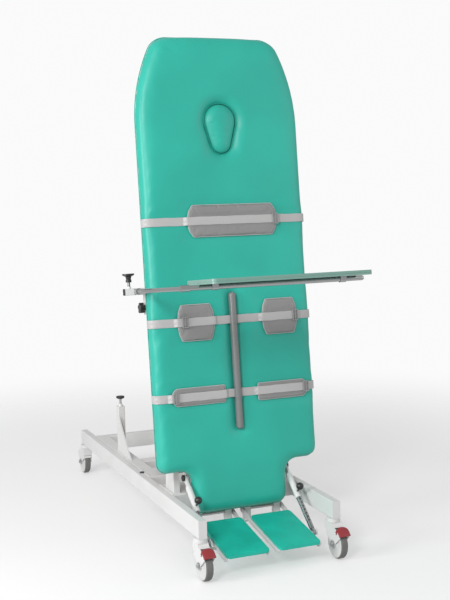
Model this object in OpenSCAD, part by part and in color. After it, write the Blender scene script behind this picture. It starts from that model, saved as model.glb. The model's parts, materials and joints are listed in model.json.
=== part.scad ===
/* [Tabletop] */
// Length of the cushion from its foot end to its head end
cushion_l = 2000; // [1900:10:2150]
// Width of the cushion at the shoulders
cushion_w = 728; // [700:2:780]
// Thickness of the cushion at its crown
cushion_t = 56; // [50:1:70]
// Width of the narrow part between the struts
foot_w = 420; // [390:2:424]
// Length of the narrow part
foot_l = 185; // [170:5:195]
// Height of the cushion's foot end over the floor, measured along the tabletop
foot_rise = 165; // [160:1:175]
// Thickness of the plywood board
board_t = 18; // [12:1:19]
// Distance of the board's edge inside the cushion's edge
board_inset = 14; // [10:1:20]
// Radius of the long taper at the head end
head_taper_r = 700; // [650:10:800]
// Length of the tapered head end
head_taper_l = 371; // [340:1:400]
// Radius of the two head corners
head_corner_r = 85; // [70:1:100]
// Radius of the lower shoulder corners
shoulder_r = 42; // [30:1:55]
// Radius of the hollow corners beside the narrow part
notch_r = 55; // [45:1:60]
// Radius of the corners at the foot end
foot_corner_r = 40; // [25:1:60]
// Lean of the upright tabletop from the vertical, in degrees
lean = 5.83; // [4:0.1:8]
// Distance of the tabletop's foot from the front of the base
table_y = 305.6; // [300:0.2:308]

/* [Face hole and plug] */
// Place of the face hole's upper circle, as a share of the cushion's length
face_share = 0.8215; // [0.81:0.0005:0.83]
// Radius of the upper circle
face_r = 70; // [60:1:75]
// Radius of the lower circle
face_low_r = 46; // [40:1:52]
// Distance between the two circles
face_l = 92; // [80:1:100]
// Gap between the plug and its hole
plug_gap = 1; // [0.6:0.1:2]
// Height of the plug over the cushion
plug_proud = 3; // [1:0.5:6]

/* [Straps, pads and divider] */
// Width of the webbing
strap_w = 35; // [30:1:40]
// Thickness of the webbing
strap_t = 1.8; // [1.4:0.1:2.2]
// Places of the three straps, as shares of the cushion's length
strap_shares = [0.611, 0.4025, 0.2475];
// Thickness of a pad
pad_t = 12; // [10:1:16]
// Width of the bar that parts the legs
divider_w = 28; // [24:1:32]
// Reach of the bar below the lowest strap
divider_below = 155; // [140:5:165]
// Reach of the bar above the middle strap
divider_above = 115; // [100:5:125]
// Height of the bar over the cushion
divider_proud = 18; // [15:1:22]
// Depth of the groove that it lies in
divider_groove = 8; // [6:1:12]

/* [Table frame] */
// Side of the square frame tubes
frame_tube = 40; // [38:1:42]
// Wall of the frame tubes
frame_wall = 2.5; // [2:0.5:4]
// Distance of the frame's side tubes from the middle
frame_u = 200; // [198:1:202]
// Lower end of the side tubes, along the tabletop
frame_v = 252; // [250:1:258]
// Distance of the side tubes' upper ends from the cushion's head end
frame_top_in = 95; // [80:5:120]
// Places of the cross tubes that carry the side rails, as shares of the cushion's length
outrigger_shares = [0.2975, 0.5435, 0.69];
// Width of the side rail
rail_h = 25; // [20:1:28]
// Thickness of the side rail
rail_t = 8; // [6:1:10]
// Distance of the side rail from the middle
rail_u = 330; // [328:1:332]
// Length of the side rail, as a share of the cushion's length
rail_l_share = 0.45; // [0.43:0.005:0.48]
// Lower end of the side rail, as a share of the cushion's length
rail_v_share = 0.2675; // [0.26:0.0005:0.27]

/* [Tilt] */
// Height at which the level tabletop's frame rests
level_z = 510; // [505:1:520]
// Distance of the tilt pivot behind the frame
pivot_drop = 45; // [43:1:50]
// Diameter of the tilt shaft
shaft_d = 38; // [34:1:42]
// Running clearance of every pivot, on the radius
run_gap = 0.05; // [0.02:0.01:0.1]
// Length of the lever that the actuator pulls
lever_r = 170; // [164:1:172]
// Angle of the lever behind the vertical, upright
lever_a = 44; // [43:0.5:45]
// Diameter of the actuator's front pin
lever_pin_d = 16; // [14:1:18]
// Place of the actuator's rear pin behind the front of the base
actuator_y = 1010; // [1000:1:1030]
// Height of the actuator's rear pin
actuator_z = 300; // [296:1:306]
// Diameter of the actuator's tube
actuator_d = 50; // [44:1:54]
// Diameter of the actuator's rod
rod_d = 20; // [18:1:24]

/* [Base] */
// Height of the rails' underside, which the casters set
caster_h = 162; // [160:1:164]
// Height of the base tubes
base_h = 74; // [70:1:80]
// Width of the side rails of the base
base_rail_w = 35; // [33:1:38]
// Distance between the middles of the two side rails
base_w = 587; // [580:1:600]
// Length of the base
base_l = 1776; // [1740:4:1840]
// Wall of the base tubes
base_wall = 3; // [2:0.5:4]
// Place of the rear cross tube
rear_y = 1568; // [1550:2:1580]
// Width of the rear cross tube
rear_w = 40; // [35:1:50]
// Front edge of the pivot platform
platform_y = 384; // [382:1:390]
// Depth of the pivot platform
platform_l = 184; // [170:2:200]
// Front edge of the middle cross tube
mid_y = 700; // [690:2:710]
// Depth of the middle cross tube
mid_l = 150; // [140:2:160]
// Width of the inner long tubes
inner_w = 60; // [55:1:64]
// Thickness of the uprights that carry the tabletop
upright_w = 25; // [20:1:26]
// Distance of the uprights' inner faces from the middle
upright_x = 242; // [241:1:244]
// Depth of the uprights
upright_l = 110; // [100:2:116]
// Side of the square rest posts
post_w = 34; // [32:1:40]
// Place of the rest posts behind the front of the base
post_y = 1215; // [1200:5:1225]
// Height of the rest posts' tubes
post_h = 219; // [200:1:230]
// Distance that the post's gusset reaches forward
gusset_l = 190; // [150:5:200]
// Diameter of the rest buffers
buffer_d = 40; // [34:1:50]

/* [Casters] */
// Diameter of the wheels
wheel_d = 125; // [120:1:126]
// Width of the tyres
tyre_w = 30; // [26:1:32]
// Distance of the wheel's axle from the swivel axis
trail = 38; // [34:1:42]
// Place of the swivel axis from the end of the rail
caster_inset = 30; // [28:1:36]
// Width of the caster's hood
hood_w = 45; // [44:1:50]

/* [Footplates and struts] */
// Distance of the footplate's hinge line behind the cushion's back face
hinge_back = 35; // [33:1:36]
// Height of the hinge line, along the tabletop
hinge_v = 147; // [146:1:150]
// Slope of the footplates against the tabletop's square, in degrees
foot_tilt = 15.53; // [14:0.1:17]
// Width of a footplate
plate_w = 183; // [176:1:186]
// Depth of a footplate
plate_l = 303; // [280:1:310]
// Thickness of a footplate
plate_t = 12; // [10:1:14]
// Distance of a footplate from the middle
plate_u = 22; // [21:1:23]
// Distance of the footplate's back edge from the hinge
plate_reach = 90; // [86:1:96]
// Side of the hanger tubes
hanger_w = 30; // [28:1:31]
// Distance of the strut's lower pin from the hinge
strut_low_s = 274; // [264:1:280]
// Distance of the struts from the middle
strut_u = 231; // [230:0.5:232]
// Height of the strut's upper pin, along the tabletop
strut_v = 315; // [312:1:316]
// Distance of the strut's upper pin behind the cushion's back face
strut_back = 22; // [20:1:24]
// Outer diameter of the strut's sleeve
sleeve_d = 26; // [25:1:28]
// Length from the upper pin to the sleeve's end
sleeve_l = 176; // [168:1:184]
// Diameter of the strut's rod
strut_rod_d = 21; // [18:1:22]
// Distance between the strut's index holes
index_pitch = 18; // [16:1:20]

/* [Tray] */
// Place of the arm along the tabletop
arm_v = 1110; // [1105:1:1120]
// Distance of the clamp's knob below the arm
clamp_below = 70; // [66:1:74]
// Distance of the arm's cross bar in front of the cushion's back face
arm_front = 550; // [520:5:570]
// Length of the arm's cross bar
arm_l = 750; // [730:2:760]
// Gap between the cushion's side and the arm's long leg
arm_gap = 18; // [17:0.5:22]
// Diameter of the arm tube
arm_d = 20; // [18:1:21]
// Width of the tray
tray_w = 654; // [620:2:680]
// Distance of the tray's left edge from the arm's long leg
tray_set = 61; // [55:1:70]
// Depth of the tray
tray_l = 280; // [250:5:300]
// Thickness of the tray
tray_t = 18; // [16:1:22]
// Side of the square sleeve that holds the arm
sleeve_w = 28; // [27:1:30]
// Distance of the mushroom knob from the arm's long leg
knob_in = 28; // [26:1:30]

/* [Hidden] */

// Round shapes are true circles
$fn = 48;
// Overrun of every cut
cut = 1;
// Gap between a soft or moving piece and what it lies on
seat = 0.3;
// Steps of a drawn quarter corner and of the head's long taper
corner_steps = 5;
taper_steps = 7;

// Tabletop lengths
half_w = cushion_w / 2;
foot_half = foot_w / 2;
arm_u = cushion_w / 2 + arm_gap + arm_d / 2;
notch_v = foot_rise + foot_l;
top_v = foot_rise + cushion_l;
face_v = foot_rise + cushion_l * face_share;
strap_v = [for (a = strap_shares) foot_rise + cushion_l * a];
outrigger_v = [for (a = outrigger_shares) foot_rise + cushion_l * a];
rail_v = foot_rise + cushion_l * rail_v_share;
rail_l = cushion_l * rail_l_share;
frame_top_v = top_v - frame_top_in;
frame_cross_v = [
    frame_v + frame_tube / 2,
    outrigger_v[0],
    outrigger_v[1],
    outrigger_v[2],
    frame_top_v - frame_tube / 2
];
divider_v = strap_v[2] - divider_below;
divider_l = strap_v[1] + divider_above - divider_v;
frame_back = board_t + frame_tube;
pivot_back = frame_back + pivot_drop;
// The pivot's height and its place along the tabletop and behind it
pivot_z = level_z - pivot_drop;
pivot_v = (pivot_z + pivot_back * sin(lean)) / cos(lean);
pivot_y = table_y + pivot_v * sin(lean) + pivot_back * cos(lean);
tilt_range = 90 - lean;

// Cushion section: distance in from the edge and height over the board
edge_foot_share = 0.1;
edge_side_share = 0.55;
edge_round = 34;
edge_turn_shares = [[0.1, 0.76], [0.28, 0.875], [0.6, 0.95]];
crown_in = 90;
edge_draw = 4;
edge_section = [
    [edge_draw, 0],
    [0, cushion_t * edge_foot_share],
    [0, cushion_t * edge_side_share],
    each [for (p = edge_turn_shares) [edge_round * p[0], cushion_t * p[1]]],
    [edge_round * 1.2, cushion_t * 0.985],
    [crown_in, cushion_t]
];
// Smallest corner left when the outline is drawn far in
tight_r = 2;

// Straps
strap_reach = 40;
strap_clear = 0.6;
strap_ramp = 16;
strap_steps = 44;
hug_share = 0.9;

// Pads: half length, half height, place across and nose length
chest_pad_half_l = 205;
chest_pad_half_h = 66;
chest_pad_u = 22;
chest_pad_nose = 26;
hip_pad_half_l = 82;
hip_pad_half_h = 75;
hip_pad_nose = 18;
hip_pad_left_u = 170;
hip_pad_right_u = 211;
hip_pad_drop = 3;
knee_pad_left_half_l = 120;
knee_pad_right_half_l = 117;
knee_pad_half_h = 36;
knee_pad_nose = 22;
knee_pad_end = 2;
knee_pad_left_u = 178;
knee_pad_right_u = 207;
knee_pad_rise = 2;
knee_pad_drop = 5;
pad_list = [
    [[chest_pad_u, strap_v[0]], [chest_pad_half_l, chest_pad_half_h], [chest_pad_nose, chest_pad_nose]],
    [[-hip_pad_left_u, strap_v[1] - hip_pad_drop], [hip_pad_half_l, hip_pad_half_h], [hip_pad_nose, hip_pad_nose]],
    [[hip_pad_right_u, strap_v[1]], [hip_pad_half_l, hip_pad_half_h], [hip_pad_nose, hip_pad_nose]],
    [[-knee_pad_left_u, strap_v[2] + knee_pad_rise], [knee_pad_left_half_l, knee_pad_half_h], [knee_pad_nose, knee_pad_end]],
    [[knee_pad_right_u, strap_v[2] - knee_pad_drop], [knee_pad_right_half_l, knee_pad_half_h], [knee_pad_end, knee_pad_nose]]
];
pad_corner = 6;
pad_edge_in = 5;
pad_turn_in = 2;
pad_crown_in = 5;
pad_levels = [[pad_turn_in, 0], [0, 0.3], [0, 0.6], [pad_turn_in, 0.85], [pad_crown_in, 1]];

// Buckles: middle across the tabletop, strap number
chest_buckle_u = 215;
hip_buckle_left_u = 221;
hip_buckle_right_u = 281;
knee_buckle_left_u = 281;
knee_buckle_right_u = 311;
buckle_list = [[chest_buckle_u, 0], [-hip_buckle_left_u, 1], [hip_buckle_right_u, 1],
               [-knee_buckle_left_u, 2], [knee_buckle_right_u, 2]];
buckle_l = 26;
buckle_w = 46;
buckle_t = 5;
buckle_rim = 4;

// Divider bar and keepers
keeper_t = 2;
keeper_w = 40;
groove_gap = 0.5;
strap_slot_gap = 1.2;

// Frame
rail_back = 37.5;
spacer_d = 14;
spacer_l = 12;
arm_plate_t = 10;
arm_plate_w = 60;
shaft_wall = 4;
hub_d = 60;
lever_t = 12;
lever_w = 66;
lever_swing = 9.3;
lever_in = 47;
tube_r = 4;
collar_t = 4;
collar_d = 50;

// Actuator
lever_pin_y = pivot_y + lever_r * sin(lever_a);
lever_pin_z = pivot_z - lever_r * cos(lever_a);
actuator_len = norm([actuator_y - lever_pin_y, lever_pin_z - actuator_z]);
actuator_rise = atan2(lever_pin_z - actuator_z, actuator_y - lever_pin_y);
fork_depth = 66;
fork_gap = 1;
fork_ear = 8;
fork_h = 30;
rear_eye_d = 30;
rear_pin_d = 12;
rear_lug_t = 8;
rear_lug_w = 40;
actuator_front = 82;
motor_d = 58;
motor_l = 150;
motor_x = 62;
actuator_bore_l = 236;

// Base
rail_top = caster_h + base_h;
base_x = base_w / 2;
inner_face = base_x - base_rail_w / 2;
actuator_beam_w = 60;
box_size = [130, 130, 62];
box_x = -195;
inlet_size = [34, 16, 26];
plug_d = 24;
plug_h = 4;
plug_y = 790;
screw_d = 12;
buffer_h = 12;
post_cap = 6;

// Casters
socket_d = 57;
socket_h = 16;
stem_d = 20;
stem_l = 13;
hood_wall = 4;
hood_r = 67.5;
axle_d = 12;
hub_w = 36;
disc_d = 98;
disc_w = 24;
pedal_t = 5;
pedal_w = 50.6;
tab_w = 18;
tab_l = 14;

// Footplates and struts
bar_t = 8;
bar_h = 20;
bar_gap = 3;
rod_hinge_d = 12;
pin_d = 10;
pin_m = -8;
cap_d = 24;
cap_t = 7;
lug_t = 8;
lug_w = 26;
lug_l = 50;
eye_play = 3.4;
rod_eye_d = 26;
knob_s = 152;
knob_d = 32;
knob_stem = 50;
strut_low_y = -hinge_set_y(strut_low_s, pin_m)[0];
strut_low_z = hinge_set_y(strut_low_s, pin_m)[1];
strut_len = norm([strut_low_y + strut_back, strut_v - strut_low_z]);
strut_angle = atan2(strut_v - strut_low_z, strut_low_y + strut_back);

// Tray
clamp_v = arm_v - clamp_below;
clamp_back = 21.5;
clamp_h = 38;
clamp_wall = 16;
clamp_lip = 6;
clamp_under = 30;
sleeve_wall = 3;
sleeve_end = 21;
sleeve_mouth = 10;
plate_back_t = 6;
boss_d = 18;
boss_h = 8;
screw_knob_d = 10;
post_d = 12;
knob_rise = 40;
knob_clamp_d = 46;
knob_clamp_t = 26;
mushroom_d = 50;
collar_l = 28;
elbow_d = 26;
elbow_l = 34;
tray_front = arm_front - tray_l / 2;
tray_u = tray_set + tray_w / 2 - arm_u;
clip_t = 3;
clip_w = 26;
clip_in = 60;

// A point of the footplate's side view: along the plate and over its hinge plane, as distance
// behind the cushion's back face and height along the tabletop
function hinge_set_y(s, m) = [
    hinge_back - s * cos(foot_tilt) - m * sin(foot_tilt),
    hinge_v - s * sin(foot_tilt) + m * cos(foot_tilt)
];

// Where the whole object stands: its box is centred on the origin
left_x = -arm_u - knob_in - mushroom_d / 2;
right_x = half_w + strap_clear + strap_t;
front_y = table_y + (arm_v + arm_d / 2 + seat) * sin(lean) - (tray_front + tray_l) * cos(lean);
back_y = base_l - caster_inset + trail + wheel_d / 2;
origin_x = (left_x + right_x) / 2;
origin_y = (front_y + back_y) / 2;

// Shared helpers
module place() {
    translate([-origin_x, -origin_y, 0]) children();
}
module on_table() {
    place() translate([0, table_y, 0]) rotate([-lean, 0, 0]) children();
}
module on_foot() {
    on_table() translate([0, hinge_back, hinge_v]) rotate([foot_tilt, 0, 0]) children();
}
module on_strut(side) {
    on_table() translate([side * strut_u, strut_back, strut_v]) rotate([strut_angle, 0, 0]) children();
}
module on_caster(side, back) {
    y = back ? base_l - caster_inset : caster_inset;
    place() translate([side * base_x, y, 0]) rotate([0, 0, back ? 180 : 0]) children();
}
// A box between two opposite corners
module block(low, high) {
    translate(low) cube(high - low);
}
// A rectangle with rounded corners, centred
module round_rect(w, h, r) {
    square([w - r * 2, h], center = true);
    square([w, h - r * 2], center = true);
    for (x = [-1, 1], y = [-1, 1]) translate([x * (w / 2 - r), y * (h / 2 - r)]) circle(r);
}
// A hollow tube along Z with rounded outer corners
module tube_z(w, h, wall, len, r) {
    linear_extrude(len) difference() {
        round_rect(w, h, r);
        square([w - wall * 2, h - wall * 2], center = true);
    }
}
// The same tube laid along Y or X, from its start
module tube_y(w, h, wall, len, r) {
    rotate([-90, 0, 0]) tube_z(w, h, wall, len, r);
}
module tube_x(w, h, wall, len, r) {
    rotate([90, 0, 90]) tube_z(w, h, wall, len, r);
}
// A closed tube along Y: the tube and its two welded ends
module closed_tube_y(w, h, wall, len, r) {
    tube_y(w, h, wall, len, r);
    for (y = [0, len - wall]) {
        translate([0, y, 0]) rotate([-90, 0, 0]) linear_extrude(wall) round_rect(w, h, r);
    }
}
// A cylinder along X, centred
module bar_x(d, len) {
    rotate([0, 90, 0]) cylinder(d = d, h = len, center = true);
}
// A cylinder along Y from its start
module bar_y(d, len) {
    rotate([-90, 0, 0]) cylinder(d = d, h = len);
}

// Outline of the tabletop, drawn in by d
function arc(c, r, from, to, n) = [
    for (i = [0:n]) c + r * [cos(from + (to - from) * i / n), sin(from + (to - from) * i / n)]
];
function drawn(r, d) = max(r - d, tight_r);
function half_outline(d) =
    let (
        fr = drawn(foot_corner_r, d),
        sr = drawn(shoulder_r, d),
        hr = drawn(head_corner_r, d),
        dv = head_taper_l - d - hr,
        reach = head_taper_r - d - hr,
        du = sqrt(reach * reach - dv * dv),
        turn = atan2(dv, du),
        taper_c = [half_w - head_taper_r, top_v - head_taper_l]
    )
    concat(
        arc([foot_half - d - fr, foot_rise + d + fr], fr, -90, 0, corner_steps),
        arc([foot_half + notch_r, notch_v - notch_r], notch_r + d, 180, 90, corner_steps),
        arc([half_w - d - sr, notch_v + d + sr], sr, -90, 0, corner_steps),
        arc(taper_c, head_taper_r - d, 0, turn, taper_steps),
        arc(taper_c + [du, dv], hr, turn, 90, corner_steps)
    );
function outline(d) =
    let (half = half_outline(d))
    concat(half, [for (i = [len(half) - 1:-1:0]) [-half[i][0], half[i][1]]]);

// Outline of the face hole and its plug, drawn in by d
function egg(d) =
    let (a = -asin((face_r - face_low_r) / face_l))
    concat(
        arc([0, face_v], face_r - d, a, 180 - a, corner_steps * 4),
        arc([0, face_v - face_l], face_low_r - d, 180 - a, 360 + a, corner_steps * 3)
    );

// A closed solid through rings of points, each ring at its own distance in front of the back face
module loft(rings, heights) {
    n = len(rings[0]);
    m = len(rings);
    points = [for (k = [0:m - 1], p = rings[k]) [p[0], -heights[k], p[1]]];
    sides = [for (k = [0:m - 2], i = [0:n - 1])
        each let (a = k * n + i, b = k * n + (i + 1) % n) [[a, b, b + n], [a, b + n, a + n]]];
    caps = [[for (i = [n - 1:-1:0]) i], [for (i = [0:n - 1]) (m - 1) * n + i]];
    polyhedron(points, concat(sides, caps));
}
// An outline in the tabletop's plane, from one distance in front of its back face to another
module slab(points, low, high) {
    translate([0, -low, 0]) rotate([90, 0, 0]) linear_extrude(high - low) polygon(points);
}

// Cushion with its crown, the plug's hole and the divider's groove
module cushion() {
    color([0.24, 0.69, 0.61]) on_table() difference() {
        loft([for (e = edge_section) outline(e[0])], [for (e = edge_section) e[1]]);
        slab(egg(-plug_gap), -cut, cushion_t + cut);
        divider_space(groove_gap);
    }
}
module divider_space(gap) {
    low = cushion_t - divider_groove;
    block(
        [-divider_w / 2 - gap, -cushion_t - cut, divider_v - gap],
        [divider_w / 2 + gap, -low + gap, divider_v + divider_l + gap]
    );
}
// Plywood board under the cushion
module board() {
    color([0.86, 0.82, 0.74]) on_table() difference() {
        slab(outline(board_inset), -board_t, 0);
        slab(egg(-seat), -board_t - cut, cut);
    }
}
// Plug of the face hole, with a crown of its own
module face_plug() {
    crown = cushion_t + plug_proud;
    soft = 12;
    rings = [0, 0, soft / 4, soft, soft * 3];
    shares = [0, 0.86, 0.96, 1, 1];
    color([0.22, 0.66, 0.58]) on_table() loft(
        [for (d = rings) egg(d)],
        [for (s = shares) -board_t + (crown + board_t) * s]
    );
}

// How far the strap lies over the cushion's face
function pad_rise(u, row) = max([0, for (p = pad_list)
    abs(p[0][1] - strap_v[row]) < strap_w
        ? lookup(abs(u - p[0][0]), [[p[1][0], pad_t + seat], [p[1][0] + strap_ramp, 0]])
        : 0]);
function cushion_face(e) = lookup(e, [for (s = edge_section) if (s[1] > cushion_t / 2) s]);
function strap_line(row, g) =
    let (
        side = [
            [half_w - board_inset - strap_reach, -board_t - g],
            [half_w - board_inset + g, -board_t - g],
            [half_w - edge_draw + g * hug_share, -g * hug_share],
            [half_w + g, cushion_t * edge_foot_share],
            [half_w + g, cushion_t * edge_side_share]
        ],
        turn = [for (i = [3:len(edge_section) - 3])
            [half_w - edge_section[i][0] + g * hug_share, edge_section[i][1] + g * hug_share]],
        flat_from = half_w - edge_round * 1.2,
        flat = [for (i = [0:strap_steps])
            let (u = flat_from * (1 - 2 * i / strap_steps))
            [u, cushion_face(half_w - abs(u)) + pad_rise(u, row) + g]]
    )
    concat(
        side,
        turn,
        flat,
        [for (i = [len(turn) - 1:-1:0]) [-turn[i][0], turn[i][1]]],
        [for (i = [len(side) - 1:-1:0]) [-side[i][0], side[i][1]]]
    );
module straps() {
    color([0.69, 0.68, 0.68]) on_table() for (row = [0:len(strap_v) - 1]) {
        inner = strap_line(row, strap_clear);
        outer = strap_line(row, strap_clear + strap_t);
        ring = concat(inner, [for (i = [len(outer) - 1:-1:0]) outer[i]]);
        translate([0, 0, strap_v[row] - strap_w / 2]) linear_extrude(strap_w)
            polygon([for (p = ring) [p[0], -p[1]]]);
    }
}
// Outline of a pad with a nose at each end, drawn in by d
function pad_outline(p, d) =
    let (
        l = p[1][0] - d,
        h = p[1][1] - d,
        c = p[0],
        r = pad_corner
    )
    [
        c + [-l, 0],
        c + [-l + p[2][0] * 0.35, -h * 0.62],
        c + [-l + p[2][0], -h],
        c + [l - p[2][1], -h],
        c + [l - p[2][1] * 0.35, -h * 0.62],
        c + [l, 0],
        c + [l - p[2][1] * 0.35, h * 0.62],
        c + [l - p[2][1], h],
        c + [-l + p[2][0], h],
        c + [-l + p[2][0] * 0.35, h * 0.62]
    ];
module pads() {
    low = cushion_t + seat;
    color([0.57, 0.56, 0.56]) on_table() for (p = pad_list) loft(
        [for (e = pad_levels) pad_outline(p, e[0])],
        [for (e = pad_levels) low + pad_t * e[1] - seat * e[1]]
    );
}
// Slide buckles on the straps and the keepers of the divider bar
module strap_hardware() {
    color([0.35, 0.35, 0.36]) on_table() {
        for (b = buckle_list) buckle(b[0], strap_v[b[1]], b[1]);
        for (row = [1, 2]) keeper(strap_v[row]);
    }
}
module buckle(u, v, row) {
    low = cushion_t + pad_t + seat + strap_clear + strap_t + seat;
    window = [buckle_l / 2 - buckle_rim * 3 / 2, buckle_w - buckle_rim * 2];
    translate([u, -low, v]) rotate([90, 0, 0]) linear_extrude(buckle_t) difference() {
        round_rect(buckle_l, buckle_w, buckle_rim);
        for (s = [-1, 1]) {
            translate([s * (window[0] / 2 + buckle_rim / 2), 0]) square(window, center = true);
        }
    }
}
// Side view across the divider bar: a flat foot with a round back
module divider_section(grow, low) {
    top = cushion_t + divider_proud - divider_w / 2;
    translate([0, -top]) intersection() {
        circle(d = divider_w + grow * 2);
        translate([0, -divider_w]) square(divider_w * 2, center = true);
    }
    translate([-divider_w / 2 - grow, -top]) square([divider_w + grow * 2, top - low]);
}
module divider_bar() {
    r = divider_w / 2;
    low = cushion_t - divider_groove;
    top = cushion_t + divider_proud - r;
    color([0.55, 0.56, 0.56]) on_table() difference() {
        union() {
            translate([0, 0, divider_v + r]) linear_extrude(divider_l - r * 2) divider_section(0, low);
            for (v = [divider_v + r, divider_v + divider_l - r]) {
                translate([0, -low, v]) rotate([90, 0, 0]) cylinder(r = r, h = top - low);
                translate([0, -top, v]) sphere(r = r);
            }
        }
        for (row = [1, 2]) strap_slot(strap_v[row]);
        block([-divider_w, -low, divider_v - cut], [divider_w, 0, divider_v + divider_l + cut]);
    }
}
module strap_slot(v) {
    half = strap_w / 2 + strap_slot_gap;
    high = cushion_t + strap_clear + strap_t + seat;
    block([-divider_w, -high, v - half], [divider_w, 0, v + half]);
}
module keeper(v) {
    low = cushion_t + strap_clear + strap_t + seat;
    translate([0, 0, v - keeper_w / 2]) linear_extrude(keeper_w) difference() {
        divider_section(keeper_t + seat, low);
        divider_section(seat, low - cut);
    }
}

// Side tubes of the table frame
module frame_side_tubes() {
    color([0.9, 0.9, 0.9]) on_table() for (s = [-1, 1]) {
        translate([s * frame_u, board_t + frame_tube / 2, frame_v])
            tube_z(frame_tube, frame_tube, frame_wall, frame_top_v - frame_v, tube_r);
    }
}
// Cross tubes between the side tubes, and the stubs that carry the side rails
module frame_cross_tubes() {
    inner = frame_u - frame_tube / 2;
    outer = frame_u + frame_tube / 2;
    y = board_t + frame_tube / 2;
    color([0.9, 0.9, 0.9]) on_table() {
        for (v = frame_cross_v) {
            translate([-inner, y, v]) tube_x(frame_tube, frame_tube, frame_wall, inner * 2, tube_r);
        }
        for (v = outrigger_v, s = [-1, 1]) {
            start = s > 0 ? outer : -rail_u + spacer_l;
            translate([start, y, v])
                tube_x(frame_tube, frame_tube, frame_wall, rail_u - spacer_l - outer, tube_r);
            translate([s * (rail_u - spacer_l / 2), rail_back, v]) bar_x(spacer_d, spacer_l);
            cap = s > 0 ? rail_u - spacer_l - frame_wall : -rail_u + spacer_l;
            translate([cap, y, v]) rotate([90, 0, 90]) linear_extrude(frame_wall)
                round_rect(frame_tube, frame_tube, tube_r);
        }
    }
}
// Flat side rails that carry the tray's clamp
module side_rails() {
    color([0.78, 0.79, 0.8]) on_table() for (s = [-1, 1]) {
        translate([s * (rail_u + rail_t / 2), rail_back, rail_v]) linear_extrude(rail_l)
            square([rail_t, rail_h], center = true);
    }
}
// Shaft of the tilt pivot with the two plates that carry the frame
module tilt_shaft() {
    color([0.82, 0.82, 0.83]) on_table() {
        length = (upright_x + upright_w + seat + collar_t) * 2;
        translate([0, pivot_back, pivot_v]) difference() {
            bar_x(shaft_d, length);
            bar_x(shaft_d - shaft_wall * 2, length + cut * 2);
        }
        for (s = [-1, 1]) {
            translate([s * (length - collar_t) / 2, pivot_back, pivot_v]) ring_x(collar_d, shaft_d, collar_t);
            translate([s * frame_u, 0, 0]) arm_plate();
        }
    }
}
module ring_x(outer, inner, t) {
    difference() {
        bar_x(outer, t);
        bar_x(inner, t + cut * 2);
    }
}
module arm_plate() {
    translate([-arm_plate_t / 2, 0, 0]) rotate([90, 0, 90]) linear_extrude(arm_plate_t) difference() {
        union() {
            translate([pivot_back, pivot_v]) circle(d = arm_plate_w);
            polygon([
                [frame_back, pivot_v - arm_plate_w],
                [pivot_back, pivot_v - arm_plate_w / 2],
                [pivot_back, pivot_v + arm_plate_w / 2],
                [frame_back, pivot_v + arm_plate_w]
            ]);
        }
        translate([pivot_back, pivot_v]) circle(d = shaft_d);
    }
}
// Slotted lever that the actuator's pin works in
module tilt_lever() {
    a = lever_a + lean;
    color([0.82, 0.82, 0.83]) on_table() translate([-lever_t / 2, pivot_back, pivot_v]) rotate([90, 0, 90])
        rotate([0, 0, a - 90]) linear_extrude(lever_t) difference() {
            union() {
                circle(d = hub_d);
                translate([0, -lever_w / 2]) square([lever_r, lever_w]);
                translate([lever_r, 0]) circle(d = lever_w);
            }
            circle(d = shaft_d);
            lever_slot();
        }
}
module lever_slot() {
    w = lever_pin_d + lever_swing * 2;
    end = lever_r + lever_pin_d / 2 + seat - w / 2 + lever_swing / 2;
    start = lever_r - lever_in - seat;
    translate([start, -w / 2]) square([end - start, w]);
    translate([start, 0]) circle(d = w - lever_swing);
    translate([end, 0]) circle(d = w);
}

// Brackets of the struts' upper pins, with the pins and their black caps
module strut_brackets() {
    inner = frame_u + frame_tube / 2;
    t = 5;
        color([0.9, 0.9, 0.9]) on_table() for (s = [-1, 1]) {
        low = min(s * inner, s * (inner + t));
        translate([low, 0, 0]) rotate([90, 0, 90]) linear_extrude(t) union() {
            polygon([
                [frame_back - frame_tube / 2, strut_v - lug_w],
                [frame_back, strut_v - lug_w],
                [frame_back, strut_v + lug_w],
                [frame_back - frame_tube / 2, strut_v + lug_w],
                [strut_back, strut_v + lug_w / 2],
                [strut_back, strut_v - lug_w / 2]
            ]);
            translate([strut_back, strut_v]) circle(d = lug_w);
        }
        end = strut_u + lug_t / 2 + seat + cap_t;
        translate([s * (inner + t + end) / 2, strut_back, strut_v]) bar_x(pin_d, end - inner - t);
        translate([s * (end - cap_t / 2), strut_back, strut_v]) ring_x(cap_d, pin_d, cap_t);
    }
}
// Square tubes that hang down from the frame to the footplates' hinge
hanger_set = bar_t / 2 + bar_gap + hanger_w / 2;
hanger_us = [plate_u + hanger_set, plate_u + plate_w - hanger_set];
hanger_below = 50;
module foot_hangers() {
    low = hinge_v - hanger_below;
    high = frame_cross_v[0] - frame_tube / 2;
    color([0.66, 0.67, 0.68]) on_table() for (s = [-1, 1], u = hanger_us) difference() {
        translate([s * u, hinge_back, low]) tube_z(hanger_w, hanger_w, frame_wall, high - low, tube_r);
        translate([s * u, hinge_back, hinge_v]) bar_x(rod_hinge_d, hanger_w + cut * 2);
    }
}
// Hinge rods through the hangers
module hinge_rods() {
    low = plate_u - bar_t / 2 - bar_gap;
    high = plate_u + plate_w + bar_t / 2 + bar_gap;
    color([0.75, 0.76, 0.77]) on_table() for (s = [-1, 1]) {
        translate([s * (low + high) / 2, hinge_back, hinge_v]) bar_x(rod_hinge_d, high - low);
    }
}

// Footplate panel with rounded corners
module footplate(side) {
    r = plate_corner;
    color([0.13, 0.69, 0.61]) on_foot() {
        translate([side * (plate_u + plate_w / 2), -plate_reach - plate_l / 2, plate_m])
            linear_extrude(plate_t) round_rect(plate_w, plate_l, r);
    }
}
plate_corner = 16;
plate_m = 1.2;
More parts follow.
